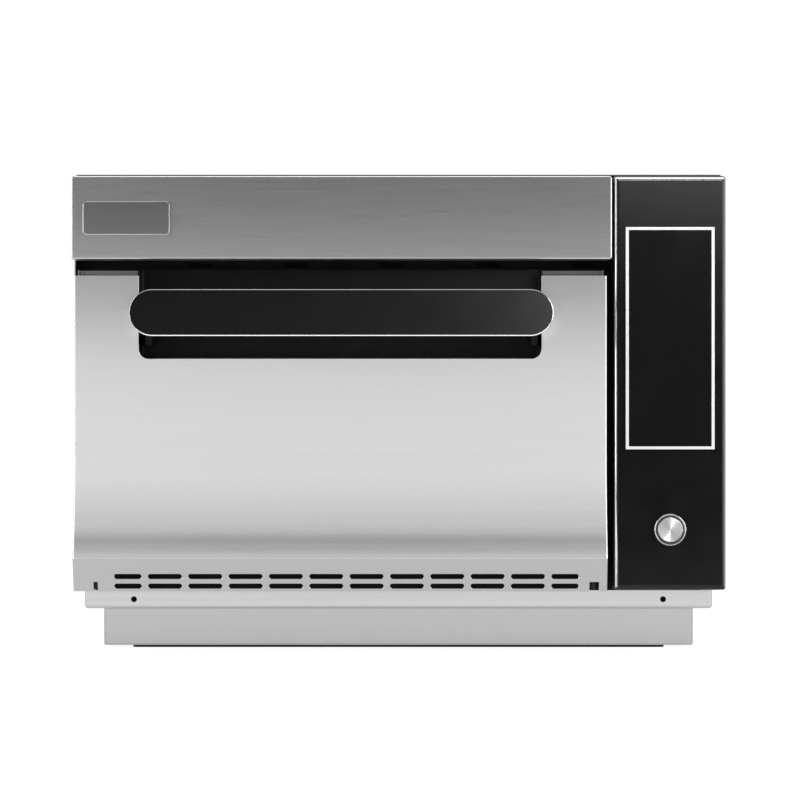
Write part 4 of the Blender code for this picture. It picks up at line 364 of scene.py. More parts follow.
def sheetPiece(name, surface, loops, rows, columns):
    # A bent sheet with openings: the surface maps (u, v) to its outer face, and rows and columns follow it
    wall = sheets["wall"]
    rim = sheets["rim"]
    spots, kept = triangulated(loops, rows, columns)
    border, shift = borderOf(spots, kept)
    used = sorted({index for triangle in kept for index in triangle})
    normals = {index: surfaceNormal(surface, *spots[index]) for index in used}
    mesh = bmesh.new()
    front = {}
    middle = {}
    back = {}
    for index in used:
        spot = spots[index]
        moved = spot + shift.get(index, Vector((0, 0))) * rim
        front[index] = mesh.verts.new(surface(*moved))
        back[index] = mesh.verts.new(surface(*spot) - normals[index] * wall)
        if index in shift:
            middle[index] = mesh.verts.new(surface(*spot) - normals[index] * rim)
    for triangle in kept:
        mesh.faces.new([front[index] for index in triangle])
    for triangle in kept:
        mesh.faces.new([back[index] for index in reversed(triangle)])
    for first, second, _ in border:
        mesh.faces.new((front[second], front[first], middle[first], middle[second]))
        mesh.faces.new((middle[second], middle[first], back[first], back[second]))
    mesh.verts.index_update()
    ownerOf = {side[index].index: index for side in (front, back) for index in used}
    piece = makeObject(name, mesh)
    data = piece.data
    data.shade_smooth()
    data.set_sharp_from_angle(angle=sheets["smoothAngle"])
    # Both faces take the surface's own normals, so that the triangles don't show
    loopNormals = [Vector(corner.vector) for corner in data.corner_normals]
    for polygon in data.polygons[:2 * len(kept)]:
        for corner in polygon.loop_indices:
            normal = normals[ownerOf[data.loops[corner].vertex_index]]
            loopNormals[corner] = normal if normal.dot(polygon.normal) > 0 else -normal
    data.normals_split_custom_set([tuple(normal) for normal in loopNormals])
    return piece


# Materials


def linear(code):
    # An sRGB hex code, as on a colour card, turned into the linear values that light adds up in
    values = [int(code[index:index + 2], 16) / 255 for index in (1, 3, 5)]
    shades = [value / 12.92 if value <= 0.04045 else ((value + 0.055) / 1.055) ** 2.4 for value in values]
    return shades + [1.0]


def addNode(tree, kind, inputs=None, **settings):
    node = tree.nodes.new(kind)
    for key, value in settings.items():
        setattr(node, key, value)
    for key, value in (inputs or {}).items():
        if isinstance(value, bpy.types.NodeSocket):
            tree.links.new(value, node.inputs[key])
        else:
            node.inputs[key].default_value = value
    return node


def startMaterial(name, colour, roughness, metallic):
    material = bpy.data.materials.new(name)
    material.use_nodes = True
    tree = material.node_tree
    shader = tree.nodes["Principled BSDF"]
    shader.inputs["Base Color"].default_value = linear(colour)
    shader.inputs["Roughness"].default_value = roughness
    shader.inputs["Metallic"].default_value = metallic
    return material, tree, shader


def grained(tree, sizes, detail=2.0, roughness=0.5):
    # A cloudy pattern whose grains have these sizes along X, Y and Z, in millimetres
    place = addNode(tree, "ShaderNodeTexCoord")
    perMetre = [1000 / size for size in sizes]
    scaled = addNode(tree, "ShaderNodeMapping", {0: place.outputs["Object"], "Scale": perMetre})
    settings = {"Vector": scaled.outputs[0], "Scale": 1.0, "Detail": detail, "Roughness": roughness}
    return addNode(tree, "ShaderNodeTexNoise", settings).outputs[0]


def spread(tree, pattern, low, high, darkest=0.3, lightest=0.7):
    # Most of a cloudy pattern lies between 0.3 and 0.7
    settings = {"Value": pattern, "From Min": darkest, "From Max": lightest, "To Min": low, "To Max": high}
    return addNode(tree, "ShaderNodeMapRange", settings).outputs[0]


def tinted(tree, shader, pattern, colour, change, *ends):
    # The colour gets lighter and darker by a share, as the pattern goes
    values = linear(colour)[:3]
    dark, light = [[min(1.0, value * (1 + way * change)) for value in values] + [1.0] for way in (-1, 1)]
    settings = {"Factor": spread(tree, pattern, 0.0, 1.0, *ends), "A": dark, "B": light}
    mix = addNode(tree, "ShaderNodeMix", settings, data_type="RGBA")
    tree.links.new(mix.outputs["Result"], shader.inputs["Base Color"])


def roughened(tree, shader, pattern, low, high, *ends):
    tree.links.new(spread(tree, pattern, low, high, *ends), shader.inputs["Roughness"])


def raised(tree, shader, pattern, depth, strength):
    # The depth is in millimetres
    settings = {"Height": pattern, "Distance": depth / 1000, "Strength": strength}
    tree.links.new(addNode(tree, "ShaderNodeBump", settings).outputs[0], shader.inputs["Normal"])


def drawnOut(tree, shader, amount, around):
    shader.inputs["Anisotropic"].default_value = amount
    tangent = addNode(tree, "ShaderNodeTangent", direction_type="RADIAL", axis=around)
    tree.links.new(tangent.outputs[0], shader.inputs["Tangent"])


# Millimetres along X, Y and Z. Brushing lines are really under 0.1 mm wide, and are drawn wider to show.
alongX = {"fine": (60, 0.4, 0.35), "broad": (350, 4, 4), "around": "Z"}
alongY = {"fine": (0.4, 60, 0.35), "broad": (4, 350, 4), "around": "Y"}


def brushedSteel(name, colour, roughness, grain, streak, anisotropy):
    # Belt-brushed stainless sheet: each highlight is drawn out along the lines and stays crisp across them
    material, tree, shader = startMaterial(name, colour, roughness, 1.0)
    fine = grained(tree, grain["fine"], 3.0, 0.6)
    tinted(tree, shader, grained(tree, grain["broad"]), colour, streak)
    roughened(tree, shader, fine, roughness * 0.90, roughness * 1.10)
    raised(tree, shader, fine, 0.01, 0.10)
    drawnOut(tree, shader, anisotropy, grain["around"])
    return material


def powderCoat(name, colour, roughness, peel=1.2, specular=0.5):
    # Baked powder or satin film: a soft orange peel breaks up what it mirrors, and its colour is flecked
    cloud = 30
    material, tree, shader = startMaterial(name, colour, roughness, 0.0)
    bumps = grained(tree, (peel, peel, peel), 2.0, 0.45)
    tinted(tree, shader, bumps, colour, 0.14)
    roughened(tree, shader, grained(tree, (cloud, cloud, cloud)), roughness * 0.9, roughness * 1.12)
    raised(tree, shader, bumps, 0.04, 0.35)
    shader.inputs["Specular IOR Level"].default_value = specular
    return material


def moulded(name, colour, roughness, grain=0.6, depth=0.03, change=0.08):
    # From a spark-eroded mould: a matt grain scatters light evenly. It is drawn wider than its real 0.1 mm.
    material, tree, shader = startMaterial(name, colour, roughness, 0.0)
    pattern = grained(tree, (grain, grain, grain), 3.0, 0.6)
    tinted(tree, shader, pattern, colour, change)
    roughened(tree, shader, pattern, roughness * 0.92, min(1.0, roughness * 1.08))
    raised(tree, shader, pattern, depth, 0.5)
    return material


def rolledSheet(name, colour, roughness, change=0.05):
    # Mill-finished or machined metal: faint clouds from rolling and handling, over a coarsely drawn grain
    cloud = (40, 30, 30)
    grain = 0.8
    material, tree, shader = startMaterial(name, colour, roughness, 1.0)
    clouds = grained(tree, cloud, 4.0, 0.6)
    tinted(tree, shader, clouds, colour, change)
    roughened(tree, shader, clouds, roughness * 0.94, roughness * 1.07)
    raised(tree, shader, grained(tree, (grain, grain, grain)), 0.01, 0.3)
    return material


def zincSheet(name, colour, roughness):
    # Hot-dipped zinc: each crystal of the spangle is a little lighter or darker
    crystal = 7.6923  # mm
    material, tree, shader = startMaterial(name, colour, roughness, 1.0)
    place = addNode(tree, "ShaderNodeTexCoord")
    settings = {"Vector": place.outputs["Object"], "Scale": 1000 / crystal}
    cells = addNode(tree, "ShaderNodeTexVoronoi", settings)
    shade = addNode(tree, "ShaderNodeSeparateColor", {0: cells.outputs["Color"]})
    tinted(tree, shader, shade.outputs[0], colour, 0.14, 0.0, 1.0)
    roughened(tree, shader, shade.outputs[1], roughness * 0.8, roughness * 1.25, 0.0, 1.0)
    return material


def turnedSteel(name, colour, roughness):
    # Faced on a lathe: rings round the middle draw the highlight into a fan
    width = 25  # mm, what the coordinates run over
    groove = 0.22  # mm, drawn wider than the real 0.1 to show
    outward = 0.25  # share of a full turn
    material, tree, shader = startMaterial(name, colour, roughness, 1.0)
    place = addNode(tree, "ShaderNodeTexCoord").outputs["Generated"]
    shift = addNode(tree, "ShaderNodeVectorMath", {0: place, 1: (0.5, 0.5, 0.5)}, operation="SUBTRACT")
    settings = {0: shift.outputs[0], 1: (1.0, 0.0, 1.0)}
    flat = addNode(tree, "ShaderNodeVectorMath", settings, operation="MULTIPLY")
    radius = addNode(tree, "ShaderNodeVectorMath", {0: flat.outputs[0]}, operation="LENGTH")
    settings = {"W": radius.outputs["Value"], "Scale": width / groove, "Detail": 2.0}
    rings = addNode(tree, "ShaderNodeTexNoise", settings, noise_dimensions="1D").outputs[0]
    tinted(tree, shader, rings, colour, 0.06)
    roughened(tree, shader, rings, roughness * 0.8, roughness * 1.2)
    drawnOut(tree, shader, 0.85, "Y")
    shader.inputs["Anisotropic Rotation"].default_value = outward
    return material


def darkGlass(name, colour):
    # Black-backed cover glass: deep and even, with a sharp reflection and faint wiping marks
    smear = (60, 50, 90)
    material, tree, shader = startMaterial(name, colour, 0.10, 0.0)
    smears = grained(tree, smear, 3.0, 0.6)
    tinted(tree, shader, smears, colour, 0.10)
    roughened(tree, shader, smears, 0.07, 0.14)
    shader.inputs["Coat Weight"].default_value = 0.5
    shader.inputs["Coat Roughness"].default_value = 0.05
    return material


def firedCeramic(name, colour):
    # Cordierite kiln stone: pale, dry and speckled
    speck = 1.6
    cloud = 50
    material, tree, shader = startMaterial(name, colour, 0.85, 0.0)
    specks = grained(tree, (speck, speck, speck), 4.0, 0.7)
    clouds = grained(tree, (cloud, cloud, cloud), 3.0, 0.6)
    both = addNode(tree, "ShaderNodeMath", {0: specks, 1: clouds}, operation="MULTIPLY")
    tinted(tree, shader, both.outputs[0], colour, 0.12, 0.12, 0.40)
    raised(tree, shader, specks, 0.15, 0.6)
    return material


def mineralWool(name, colour):
    # Pressed fibre blanket: soft and dull, with its fibres lying one way
    fibre = (1.2, 9, 1.2)
    material, tree, shader = startMaterial(name, colour, 1.0, 0.0)
    fibres = grained(tree, fibre, 5.0, 0.75)
    tinted(tree, shader, fibres, colour, 0.22)
    raised(tree, shader, fibres, 0.6, 0.8)
    return material


def laminatedCore(name, colour):
    # Varnished iron sheets, stacked: thin lines run across the block
    sheet = (80, 0.7, 80)
    material, tree, shader = startMaterial(name, colour, 0.45, 0.4)
    lines = grained(tree, sheet, 1.0, 0.3)
    tinted(tree, shader, lines, colour, 0.35)
    raised(tree, shader, lines, 0.1, 0.5)
    return material


materials = {
    "front": brushedSteel("brushedStainlessFront", "#D6D6D6", 0.30, alongX, 0.012, 0.55),
    # The plinth and chassis take lighter copies of the front's steel, partly for a finish of their own and
    # partly as painted light that makes up for the light reaching them low down
    "plinth": brushedSteel("brushedStainlessPlinth", "#D8D8D8", 0.36, alongX, 0.010, 0.5),
    "chassis": brushedSteel("brushedStainlessChassis", "#E8E8E8", 0.26, alongX, 0.030, 0.6),
    "cabinet": brushedSteel("brushedStainlessCabinet", "#CCCCCC", 0.34, alongY, 0.015, 0.4),
    "rear": brushedSteel("brushedStainlessRear", "#C8C8C8", 0.36, alongX, 0.015, 0.5),
    # The frame and sill behind the door are near black: painted shade for the dark gap under the fascia and
    # the door's slots
    "frame": powderCoat("darkBakedFrame", "#0C0C0D", 0.55, specular=0.15),
    "inner": brushedSteel("foldedInnerSteel", "#A6A6A6", 0.38, alongX, 0.08, 0.3),
    "chamber": rolledSheet("satinChamberSteel", "#BDBDBB", 0.32, 0.03),
    "badge": brushedSteel("satinBadgeFace", "#A4A4A4", 0.32, alongX, 0.02, 0.5),
    "badgeRim": rolledSheet("polishedBadgeRim", "#CFCFCF", 0.16, 0.02),
    "panel": powderCoat("blackFilmPanel", "#101011", 0.30, specular=0.45),
    "bareFold": rolledSheet("bareFoldedEdge", "#D2D2D2", 0.20, 0.03),
    "recess": powderCoat("blackPowderCoatRecess", "#0E0E0F", 0.45, specular=0.13),
    "handle": powderCoat("blackSatinHandle", "#0B0B0C", 0.34, 0.9, 0.14),
    "handleSteel": rolledSheet("polishedHandleShell", "#E4E4E4", 0.16, 0.02),
    # Near black: painted shade for the handle posts, which stand in the shade under the handle
    "post": powderCoat("blackHandlePost", "#0B0B0C", 0.50, 0.9, 0.12),
    "button": turnedSteel("lathedButtonCap", "#BCBCBC", 0.38),
    "bezel": rolledSheet("polishedBezel", "#D2D2D2", 0.14, 0.03),
    "line": moulded("paleDisplayLine", "#E0E0E0", 0.40, 0.8, 0.01, 0.01),
    "glass": darkGlass("blackCoverGlass", "#171718"),
    "plastic": moulded("blackMouldedPlastic", "#1B1B1C", 0.55),
    "rubber": moulded("footRubber", "#161616", 0.82, 1.0, 0.06, 0.15),
    "seal": moulded("sealRubber", "#3A3938", 0.70, 1.0, 0.06, 0.12),
    "ceramic": firedCeramic("firedHearthStone", "#CDBFA6"),
    "wool": mineralWool("blackFacedMineralWool", "#2A2A29"),
    "fan": rolledSheet("pressedFanSteel", "#B5B5B3", 0.33, 0.06),
    "element": moulded("oxidisedElementSheath", "#3A3634", 0.55, 1.5, 0.05, 0.25),
    "motor": powderCoat("darkMotorPaint", "#38383A", 0.48),
    "aluminium": rolledSheet("millAluminium", "#D3D3D4", 0.34),
    "core": laminatedCore("varnishedLaminations", "#6B4A33"),
    "zinc": zincSheet("spangledZincSheet", "#BFC1C3", 0.38),
    "bracket": powderCoat("blackenedBracket", "#2C2C2D", 0.50, specular=0.3),
    "pin": rolledSheet("turnedPinSteel", "#C8C8C6", 0.22, 0.03),
    "board": moulded("greenSolderMask", "#17603A", 0.35, 1.4, 0.03, 0.22),
}
print("materials made")

# The CAD nodes that stay in view, by their finish
nodeFinishes = {
    "rubber": ("foot_strip_front", "foot_strip_rear"),
    # Near black, as painted shade for the gap and slots that show them
    "frame": ("front_frame", "front_sill"),
    "chamber": ("cavity_liner", "top_jet_plate", "air_baffle", "fan_plenum", "door_choke_panel"),
    "wool": ("insulation_jacket",),
    "ceramic": ("ceramic_hearth",),
    "element": ("heating_element",),
    "fan": ("circulation_fan",),
    # The waveguides' dark paint is painted shade: it darkens what the door's slots show
    "motor": ("circulation_motor", "cooling_blower_motor", "waveguide_front", "waveguide_rear"),
    "aluminium": ("magnetron_front", "magnetron_rear", "capacitor_front", "capacitor_rear", "line_filter"),
    "core": ("transformer_front", "transformer_rear"),
    "zinc": ("cooling_blower_housing", "cooling_wheel", "hinge_arm_left", "hinge_arm_right"),
    "board": ("control_board",),
    "plastic": (
        "power_button_switch", "cable_gland",
        "latch_block_left", "latch_block_right", "latch_hook_left", "latch_hook_right",
    ),
    "bracket": ("hinge_bracket_left", "hinge_bracket_right"),
    "pin": ("hinge_pin_left", "hinge_pin_right"),
    "inner": ("door_frame",),
    "seal": ("door_seal",),
}
for finish, nodes in nodeFinishes.items():
    for node in nodes:
        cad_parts[node].data.materials.clear()
        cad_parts[node].data.materials.append(materials[finish])


# Base and cabinet


base = {
    "wall": 0.0015, "corner": 0.004, "plinthBend": 0.0018, "chassisBend": 0.0034,
    "holeRadius": 0.003, "holeSteps": 32, "holeSpread": 0.2668,
    "holeLift": 0.51,  # share of the chassis pan's height
}


def makeBase():
    for name, node, finish in (("plinthPan", "plinth", "plinth"), ("chassisPan", "base_pan", "chassis")):
        low, high, size, centre = boxOf(node, 0, 1)
        bend = base[finish + "Bend"]
        piece = pan(name, "Z", size, centre, high.z, low.z, base["corner"], bend, base["wall"])
        if node == "base_pan":
            z = low.z + base["holeLift"] * (high.z - low.z)
            places = [(side * base["holeSpread"], z) for side in (-1, 1)]
            holes = [circle(base["holeRadius"], place, base["holeSteps"]) for place in places]
            cutOut(piece, [through(hole, low.y) for hole in holes])
        dress(smoothed(piece), finish, "root", finish + "_steel", node)


wrap = {
    "radius": 0.004, "bendSteps": 10, "flange": 0.020,
    "slotLength": 0.060, "slotHeight": 0.005, "slotPitch": 0.016, "slotRows": 7, "slotLow": 0.110,
    "slotRear": 0.110,
    "slotColumns": (1, 2),  # left, right
    # The front foot is cut away around the frame: half its height, past each side and corner
    "relief": 0.0042, "reliefOver": 0.005, "reliefCorner": 0.0005,
}


def makeWrap():
    low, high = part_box("cabinet_wrap")
    corners = [
        (low.x + wrap["flange"], low.z), (low.x, low.z), (low.x, high.z),
        (high.x, high.z), (high.x, low.z), (high.x - wrap["flange"], low.z),
    ]
    radius = wrap["radius"]
    path = roundedPath(corners, (0, radius, radius, radius, radius, 0), wrap["bendSteps"])
    strip = thickened(path, sheets["wall"])
    piece = lofted("cabinetWrap", [ringAt(strip, low.y), ringAt(strip, high.y)])
    slots = []
    for side, columns in zip((low.x, high.x), wrap["slotColumns"]):
        for column in range(columns):
            y = high.y - wrap["slotRear"] - column * (wrap["slotLength"] + wrap["slotPitch"])
            for row in range(wrap["slotRows"]):
                z = wrap["slotLow"] + row * wrap["slotPitch"]
                slots.append(through(pill(wrap["slotLength"], wrap["slotHeight"], (y, z)), side, "X"))
    cutOut(piece, slots)
    size = (high.x - low.x + 2 * wrap["reliefOver"], 2 * wrap["relief"])
    outline = roundedBox(size, wrap["reliefCorner"], (0, low.z), 1)
    ends = (low.y - sheets["cutReach"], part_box("front_frame")[0].y)
    cutOut(piece, [[ringAt(outline, end) for end in ends]])
    dress(smoothed(piece), "cabinet", "root", "cabinet_steel", "cabinet_wrap")


rear = {
    "corner": 0.004, "slotLength": 0.130, "slotHeight": 0.006, "slotPitch": 0.018, "slotRows": 8,
    "slotLow": 0.220, "slotOffset": 0.180, "glandHole": 0.0118, "glandSteps": 48,
}


def makeRear():
    low, high, size, centre = boxOf("rear_panel", 0, 2)
    piece = pan("rearPanel", "Y", size, centre, low.y, high.y, rear["corner"], sheets["bend"], sheets["wall"])
    holes = []
    for side in (-1, 1):
        for row in range(rear["slotRows"]):
            place = (side * rear["slotOffset"], rear["slotLow"] + row * rear["slotPitch"])
            holes.append(pill(rear["slotLength"], rear["slotHeight"], place))
    _, _, _, glandCentre = boxOf("cable_gland", 0, 2)
    holes.append(circle(rear["glandHole"], glandCentre, rear["glandSteps"]))
    cutOut(piece, [through(hole, high.y) for hole in holes])
    dress(smoothed(piece), "rear", "root", "cabinet_steel", "rear_panel")


# Front covers and controls


fascia = {"bend": 0.0019}
badge = {
    "corner": 0.0042, "cornerSteps": 10, "rim": 0.0005, "rimRound": 0.0004, "rimSteps": 4, "dish": 0.0002,
    "smoothAngle": math.radians(30),
    # How near its level the dished face is found, and the square metres that it is larger than
    "faceWithin": 0.00001, "faceArea": 0.0001,
}


def makeFascia():
    piece = smoothed(frontPan("fasciaCover", "top_fascia", fascia["bend"]))
    dress(piece, "front", "root", "brushed_front", "top_fascia")
    low, high, size, centre = boxOf("badge_plate", 0, 2)
    faceLevel = low.y + badge["dish"]
    sections = [(0, high.y)]
    sections += [(inset, low.y + depth) for inset, depth in rolledEdge(badge["rimRound"], badge["rimSteps"])]
    sections += [(badge["rim"], low.y), (badge["rim"] + badge["dish"], faceLevel)]
    sections = [(inset, level, badge["corner"] - inset) for inset, level in sections]
    plate = stacked("bareBadge", size, centre, sections, steps=badge["cornerSteps"])
    smoothed(plate, badge["smoothAngle"])
    dress(plate, ("badgeRim", "badge"), "root", "plate_steel", "badge_plate")
    for polygon in plate.data.polygons:
        level = abs(polygon.center.y - faceLevel) < badge["faceWithin"]
        polygon.material_index = 1 if level and polygon.area > badge["faceArea"] else 0


panel = {
    "bend": 0.0054,
    # The black film leaves a bare line in the folded edge, from this far in to that far out. The black kept
    # outside it on the top and right folds is a painted dark outline
    "film": 0.0040, "filmRight": 0.0019, "paintedOutline": 0.0010,
    "paneLap": 0.004, "paneCorner": 0.004, "buttonHole": 0.0143, "buttonSteps": 64,
}


def makePanel():
    piece = frontPan("controlCover", "control_panel", panel["bend"])
    low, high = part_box("control_panel")
    _, _, pane, paneCentre = boxOf("touch_display", 0, 2)
    _, _, _, capCentre = boxOf("power_button_cap", 0, 2)
    window = insetBox(pane, panel["paneLap"], panel["paneCorner"], paneCentre)
    hole = circle(panel["buttonHole"], capCentre, panel["buttonSteps"])
    cutOut(piece, [through(window, low.y), through(hole, low.y)])
    cover = dress(smoothed(piece), ("panel", "bareFold"), "root", "black_panel", "control_panel")
    for polygon in cover.data.polygons:
        spot = polygon.center
        atRight = high.x - spot.x < panel["filmRight"]
        folded = atRight or min(spot.x - low.x, high.z - spot.z) < panel["film"]
        # Black again at the very edge of the top and right folds: a painted dark outline
        edge = min(high.x - spot.x, high.z - spot.z) < panel["paintedOutline"]
        polygon.material_index = 1 if folded and not edge and spot.z > low.z + sheets["bend"] else 0


display = {"line": 0.0029, "corner": 0.0007, "narrowing": 8, "edge": 0.0003, "paneCorner": 0.0004}


def makeDisplay():
    low, high, size, centre = boxOf("display_frame", 0, 2)
    edge = display["edge"]
    line = display["line"]
    sides = [(0, high.y), (0, low.y + edge), (edge, low.y)]
    sides += [(line - inset, level) for inset, level in sides[::-1]]
    corner = display["corner"]
    sections = [(inset, level, corner - inset / display["narrowing"]) for inset, level in sides]
    piece = smoothed(stacked("displayLine", size, centre, sections, True))
    dress(piece, "line", "root", "display_line", "display_frame")
    low, high, size, centre = boxOf("touch_display", 0, 2)
    corner = display["paneCorner"]
    sections = [(0, high.y, corner), (0, low.y + edge, corner), (edge, low.y, corner)]
    piece = smoothed(stacked("displayPane", size, centre, sections))
    dress(piece, "glass", "root", "display_glass", "touch_display")


button = {
    "steps": 96,
    # Radius, and how far back from the front: the ring, its foot on the panel and the nut behind
    "bezel": (
        (0.01285, 0.0022), (0.01330, 0.0017), (0.01375, 0.0015), (0.01415, 0.0008), (0.01440, 0.00025),
        (0.01475, 0.00004), (0.01510, 0.0), (0.01545, 0.0001), (0.01575, 0.0004), (0.01590, 0.0009),
        (0.0159, 0.0034), (0.0140, 0.0034), (0.0140, 0.0052), (0.0175, 0.0052), (0.0175, 0.0092),
        (0.0140, 0.0092),
    ),
    "footDepth": 0.0034,
    "barrel": 0.0140,
    "bore": 0.0128,
    "cap": (
        (0.0040, 0.00035), (0.0104, 0.00012), (0.0110, 0.00004), (0.0115, 0.0), (0.0119, 0.0001),
        (0.0122, 0.0004), (0.0124, 0.0009),
    ),
    "capRear": ((0.0124, 0.0004), (0.0118, 0.0)),  # radius, and how far in from the rear
}


def makeButton():
    low, high, _, centre = boxOf("power_button_bezel", 0, 2)
    profile = [(radius, low.y + depth) for radius, depth in button["bezel"]]
    profile += [(button["barrel"], high.y), (button["bore"], high.y)]
    bezel = smoothed(turned("buttonBezel", profile, centre, button["steps"], True))
    dress(bezel, ("bezel", "inner"), "root", "button_steel", "power_button_bezel")
    # The ring's inner slope round the cap takes the duller inner steel: painted shade, a dark ring between
    # bezel and cap
    for polygon in bezel.data.polygons:
        across = math.hypot(polygon.center.x - centre[0], polygon.center.z - centre[1])
        ahead = polygon.center.y < low.y + button["footDepth"]
        polygon.material_index = 1 if across < button["barrel"] and ahead else 0
    low, high, _, centre = boxOf("power_button_cap", 0, 2)
    profile = [(radius, low.y + depth) for radius, depth in button["cap"]]
    profile += [(radius, high.y - depth) for radius, depth in button["capRear"]]
    cap = smoothed(turned("buttonCap", profile, centre, button["steps"]))
    dress(cap, "button", "power_button", "button_steel", "power_button_cap")


# Door


door = {
    # From top to bottom: share of the skin's height, share of the nose's reach
    "profile": (
        (1.0000, 0.0000), (0.4640, 0.0000), (0.4110, 0.0040), (0.3630, 0.0440), (0.3150, 0.1320),
        (0.2670, 0.2650), (0.2190, 0.4360), (0.1810, 0.6000), (0.1455, 0.7935), (0.1255, 0.9012),
        (0.1055, 1.0000), (0.0800, 0.8350), (0.0430, 0.6000), (0.0000, 0.3200),
    ),
    "crest": 0.1055,  # where the nose is folded back, as a share of the height
    "softening": 0.0004,  # how far the fold over the nose is rounded, along the height
    "softSteps": 4,
    # Rows of the mesh below, at and above the crest: distance from it, pitch and number
    "rowsBelow": (-0.0010, -0.0024, 13),
    "rowsAtCrest": (-0.0006, 0.00012, 11),
    "rowsAbove": (0.0012, 0.0030, 50),
    "bend": 0.0016,
    "returnSteps": 4,
    "slotLong": 0.0336, "slotShort": 0.0271, "slotHeight": 0.0050, "slotPitch": 0.0399, "slotCount": 10,
    "slotLifts": (0.0053, 0.0150),
    "notchWidths": (0.0042, 0.0094),
    "notchHeight": 0.0094,
    "hingeSpread": 0.2467,
    "hingeShift": 0.0046,
    "recessWidth": 0.3996, "recessCorner": 0.010, "recessLip": 0.0008,
    "cornerSteps": 12,
    "shift": 0.0061,  # the chamber's middle against the door's
}


def doorLoops(low, high, edge):
    # The outline goes round the handle's opening at the top and the hinge notches at the foot
    recessLow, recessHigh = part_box("handle_recess")
    recessX = (recessLow.x + recessHigh.x) / 2 - (high.x + low.x) / 2
    half = door["recessWidth"] / 2
    floor = recessLow.z + recess["wall"]
    corners = [
        (-edge, low.z), (edge, low.z), (edge, high.z), (recessX + half, high.z), (recessX + half, floor),
        (recessX - half, floor), (recessX - half, high.z), (-edge, high.z),
    ]
    radius = door["recessCorner"]
    lip = door["recessLip"]
    outline = roundedPath(corners, (0, 0, 0, lip, radius, radius, lip, 0), door["cornerSteps"])
    notches = []
    for side, width in zip((-1, 1), door["notchWidths"]):
        x = door["hingeShift"] + side * door["hingeSpread"]
        left, right, top = x - width / 2, x + width / 2, low.z + door["notchHeight"]
        notches += [(left, low.z), (left, top), (right, top), (right, low.z)]
    loops = [[outline[0]] + notches + outline[1:]]
    pitch = door["slotPitch"]
    count = door["slotCount"]
    outer = pitch * count / 2 + (pitch - door["slotLong"]) / 2 + door["slotShort"] / 2
    slots = [((index - (count - 1) / 2) * pitch, door["slotLong"]) for index in range(count)]
    slots += [(side * outer, door["slotShort"]) for side in (-1, 1)]
    for lift in door["slotLifts"]:
        for x, length in slots:
            place = (door["shift"] + x, low.z + lift)
            loops.append(pill(length, door["slotHeight"], place, door["cornerSteps"]))
    return loops


def makeDoorSkin():
    low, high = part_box("door_skin")
    height = high.z - low.z
    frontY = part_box("top_fascia")[0].y
    noseReach = frontY - low.y
    half = (high.x - low.x) / 2
    middle = (high.x + low.x) / 2
    bend = door["bend"]
    straight = half - bend
    arc = bend * math.pi / 2
    turnBack = high.y - frontY - bend
    upper = smoothCurve([stop for stop in door["profile"][::-1] if stop[0] >= door["crest"]])
    lower = smoothCurve([stop for stop in door["profile"][::-1] if stop[0] <= door["crest"]])
    soft = door["softSteps"]

    def reachAt(z):
        total = 0.0
        for step in range(-soft, soft + 1):
            share = (z + door["softening"] * step / soft - low.z) / height
            total += upper(share) if share > door["crest"] else lower(share)
        return noseReach * total / (2 * soft + 1)

    def surface(u, v):
        # u runs across the front and round both side bends, and v is the height
        front = frontY - reachAt(v)
        side = math.copysign(1, u)
        reach = abs(u)
        if reach <= straight:
            return Vector((middle + u, front, v))
        if reach <= straight + arc:
            angle = (reach - straight) / bend
            x = middle + side * (straight + bend * math.sin(angle))
            return Vector((x, front + bend * (1 - math.cos(angle)), v))
        share = (reach - straight - arc) / turnBack
        return Vector((middle + side * half, front + bend + share * (high.y - front - bend), v))

    crest = low.z + door["crest"] * height
    rows = []
    for part in ("rowsBelow", "rowsAtCrest", "rowsAbove"):
        first, pitch, count = door[part]
        rows += [crest + first + pitch * step for step in range(count)]
    bends = sheets["bendSteps"]
    returns = door["returnSteps"]
    columns = []
    for side in (-1, 1):
        columns += [side * (straight + arc * step / bends) for step in range(bends + 1)]
        columns += [side * (straight + arc + turnBack * step / returns) for step in range(1, returns)]
    loops = doorLoops(low, high, straight + arc + turnBack)
    piece = sheetPiece("doorSkin", surface, loops, rows, columns)
    dress(piece, "front", "door", "brushed_front", "door_skin")


recess = {
    "wall": 0.0012, "corner": 0.010, "cornerSteps": 12, "lipCorner": 0.004,
    "fillet": 0.0035, "filletSteps": 6, "edge": 0.0003,
    "openTop": 0.02, "openCorner": 0.001,  # the hollow runs out past the open top
}


def makeRecess():
    low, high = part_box("handle_recess")
    wall = recess["wall"]

    def shell(inset, top, corner, lip):
        left, right, floor = low.x + inset, high.x - inset, low.z + inset
        corners = ((left, floor), (right, floor), (right, top), (left, top))
        return roundedPath(corners, (corner, corner, lip, lip), recess["cornerSteps"])

    outline = shell(0.0, high.z, recess["corner"] + wall, recess["lipCorner"])
    piece = lofted("handleRecess", [ringAt(outline, low.y), ringAt(outline, high.y)])
    sections = [(0.0, low.y - sheets["cutReach"])]
    for inset, depth in rolledEdge(recess["fillet"], recess["filletSteps"]):
        sections.append((inset, high.y - wall - depth))
    top = high.z + recess["openTop"]
    rings = []
    for inset, level in sections:
        outline = shell(wall + inset, top, recess["corner"] - inset, recess["openCorner"])
        rings.append(ringAt(outline, level))
    cutOut(piece, [rings])
    softenEdges(piece, recess["edge"])
    dress(smoothed(piece), "recess", "door", "black_panel", "handle_recess")


handle = {
    "faceBend": 0.0010, "faceBack": 0.0002, "rimBend": 0.0016, "shellBend": 0.0045, "endSteps": 40,
    "postCorner": 0.0024, "postSteps": 8,
}


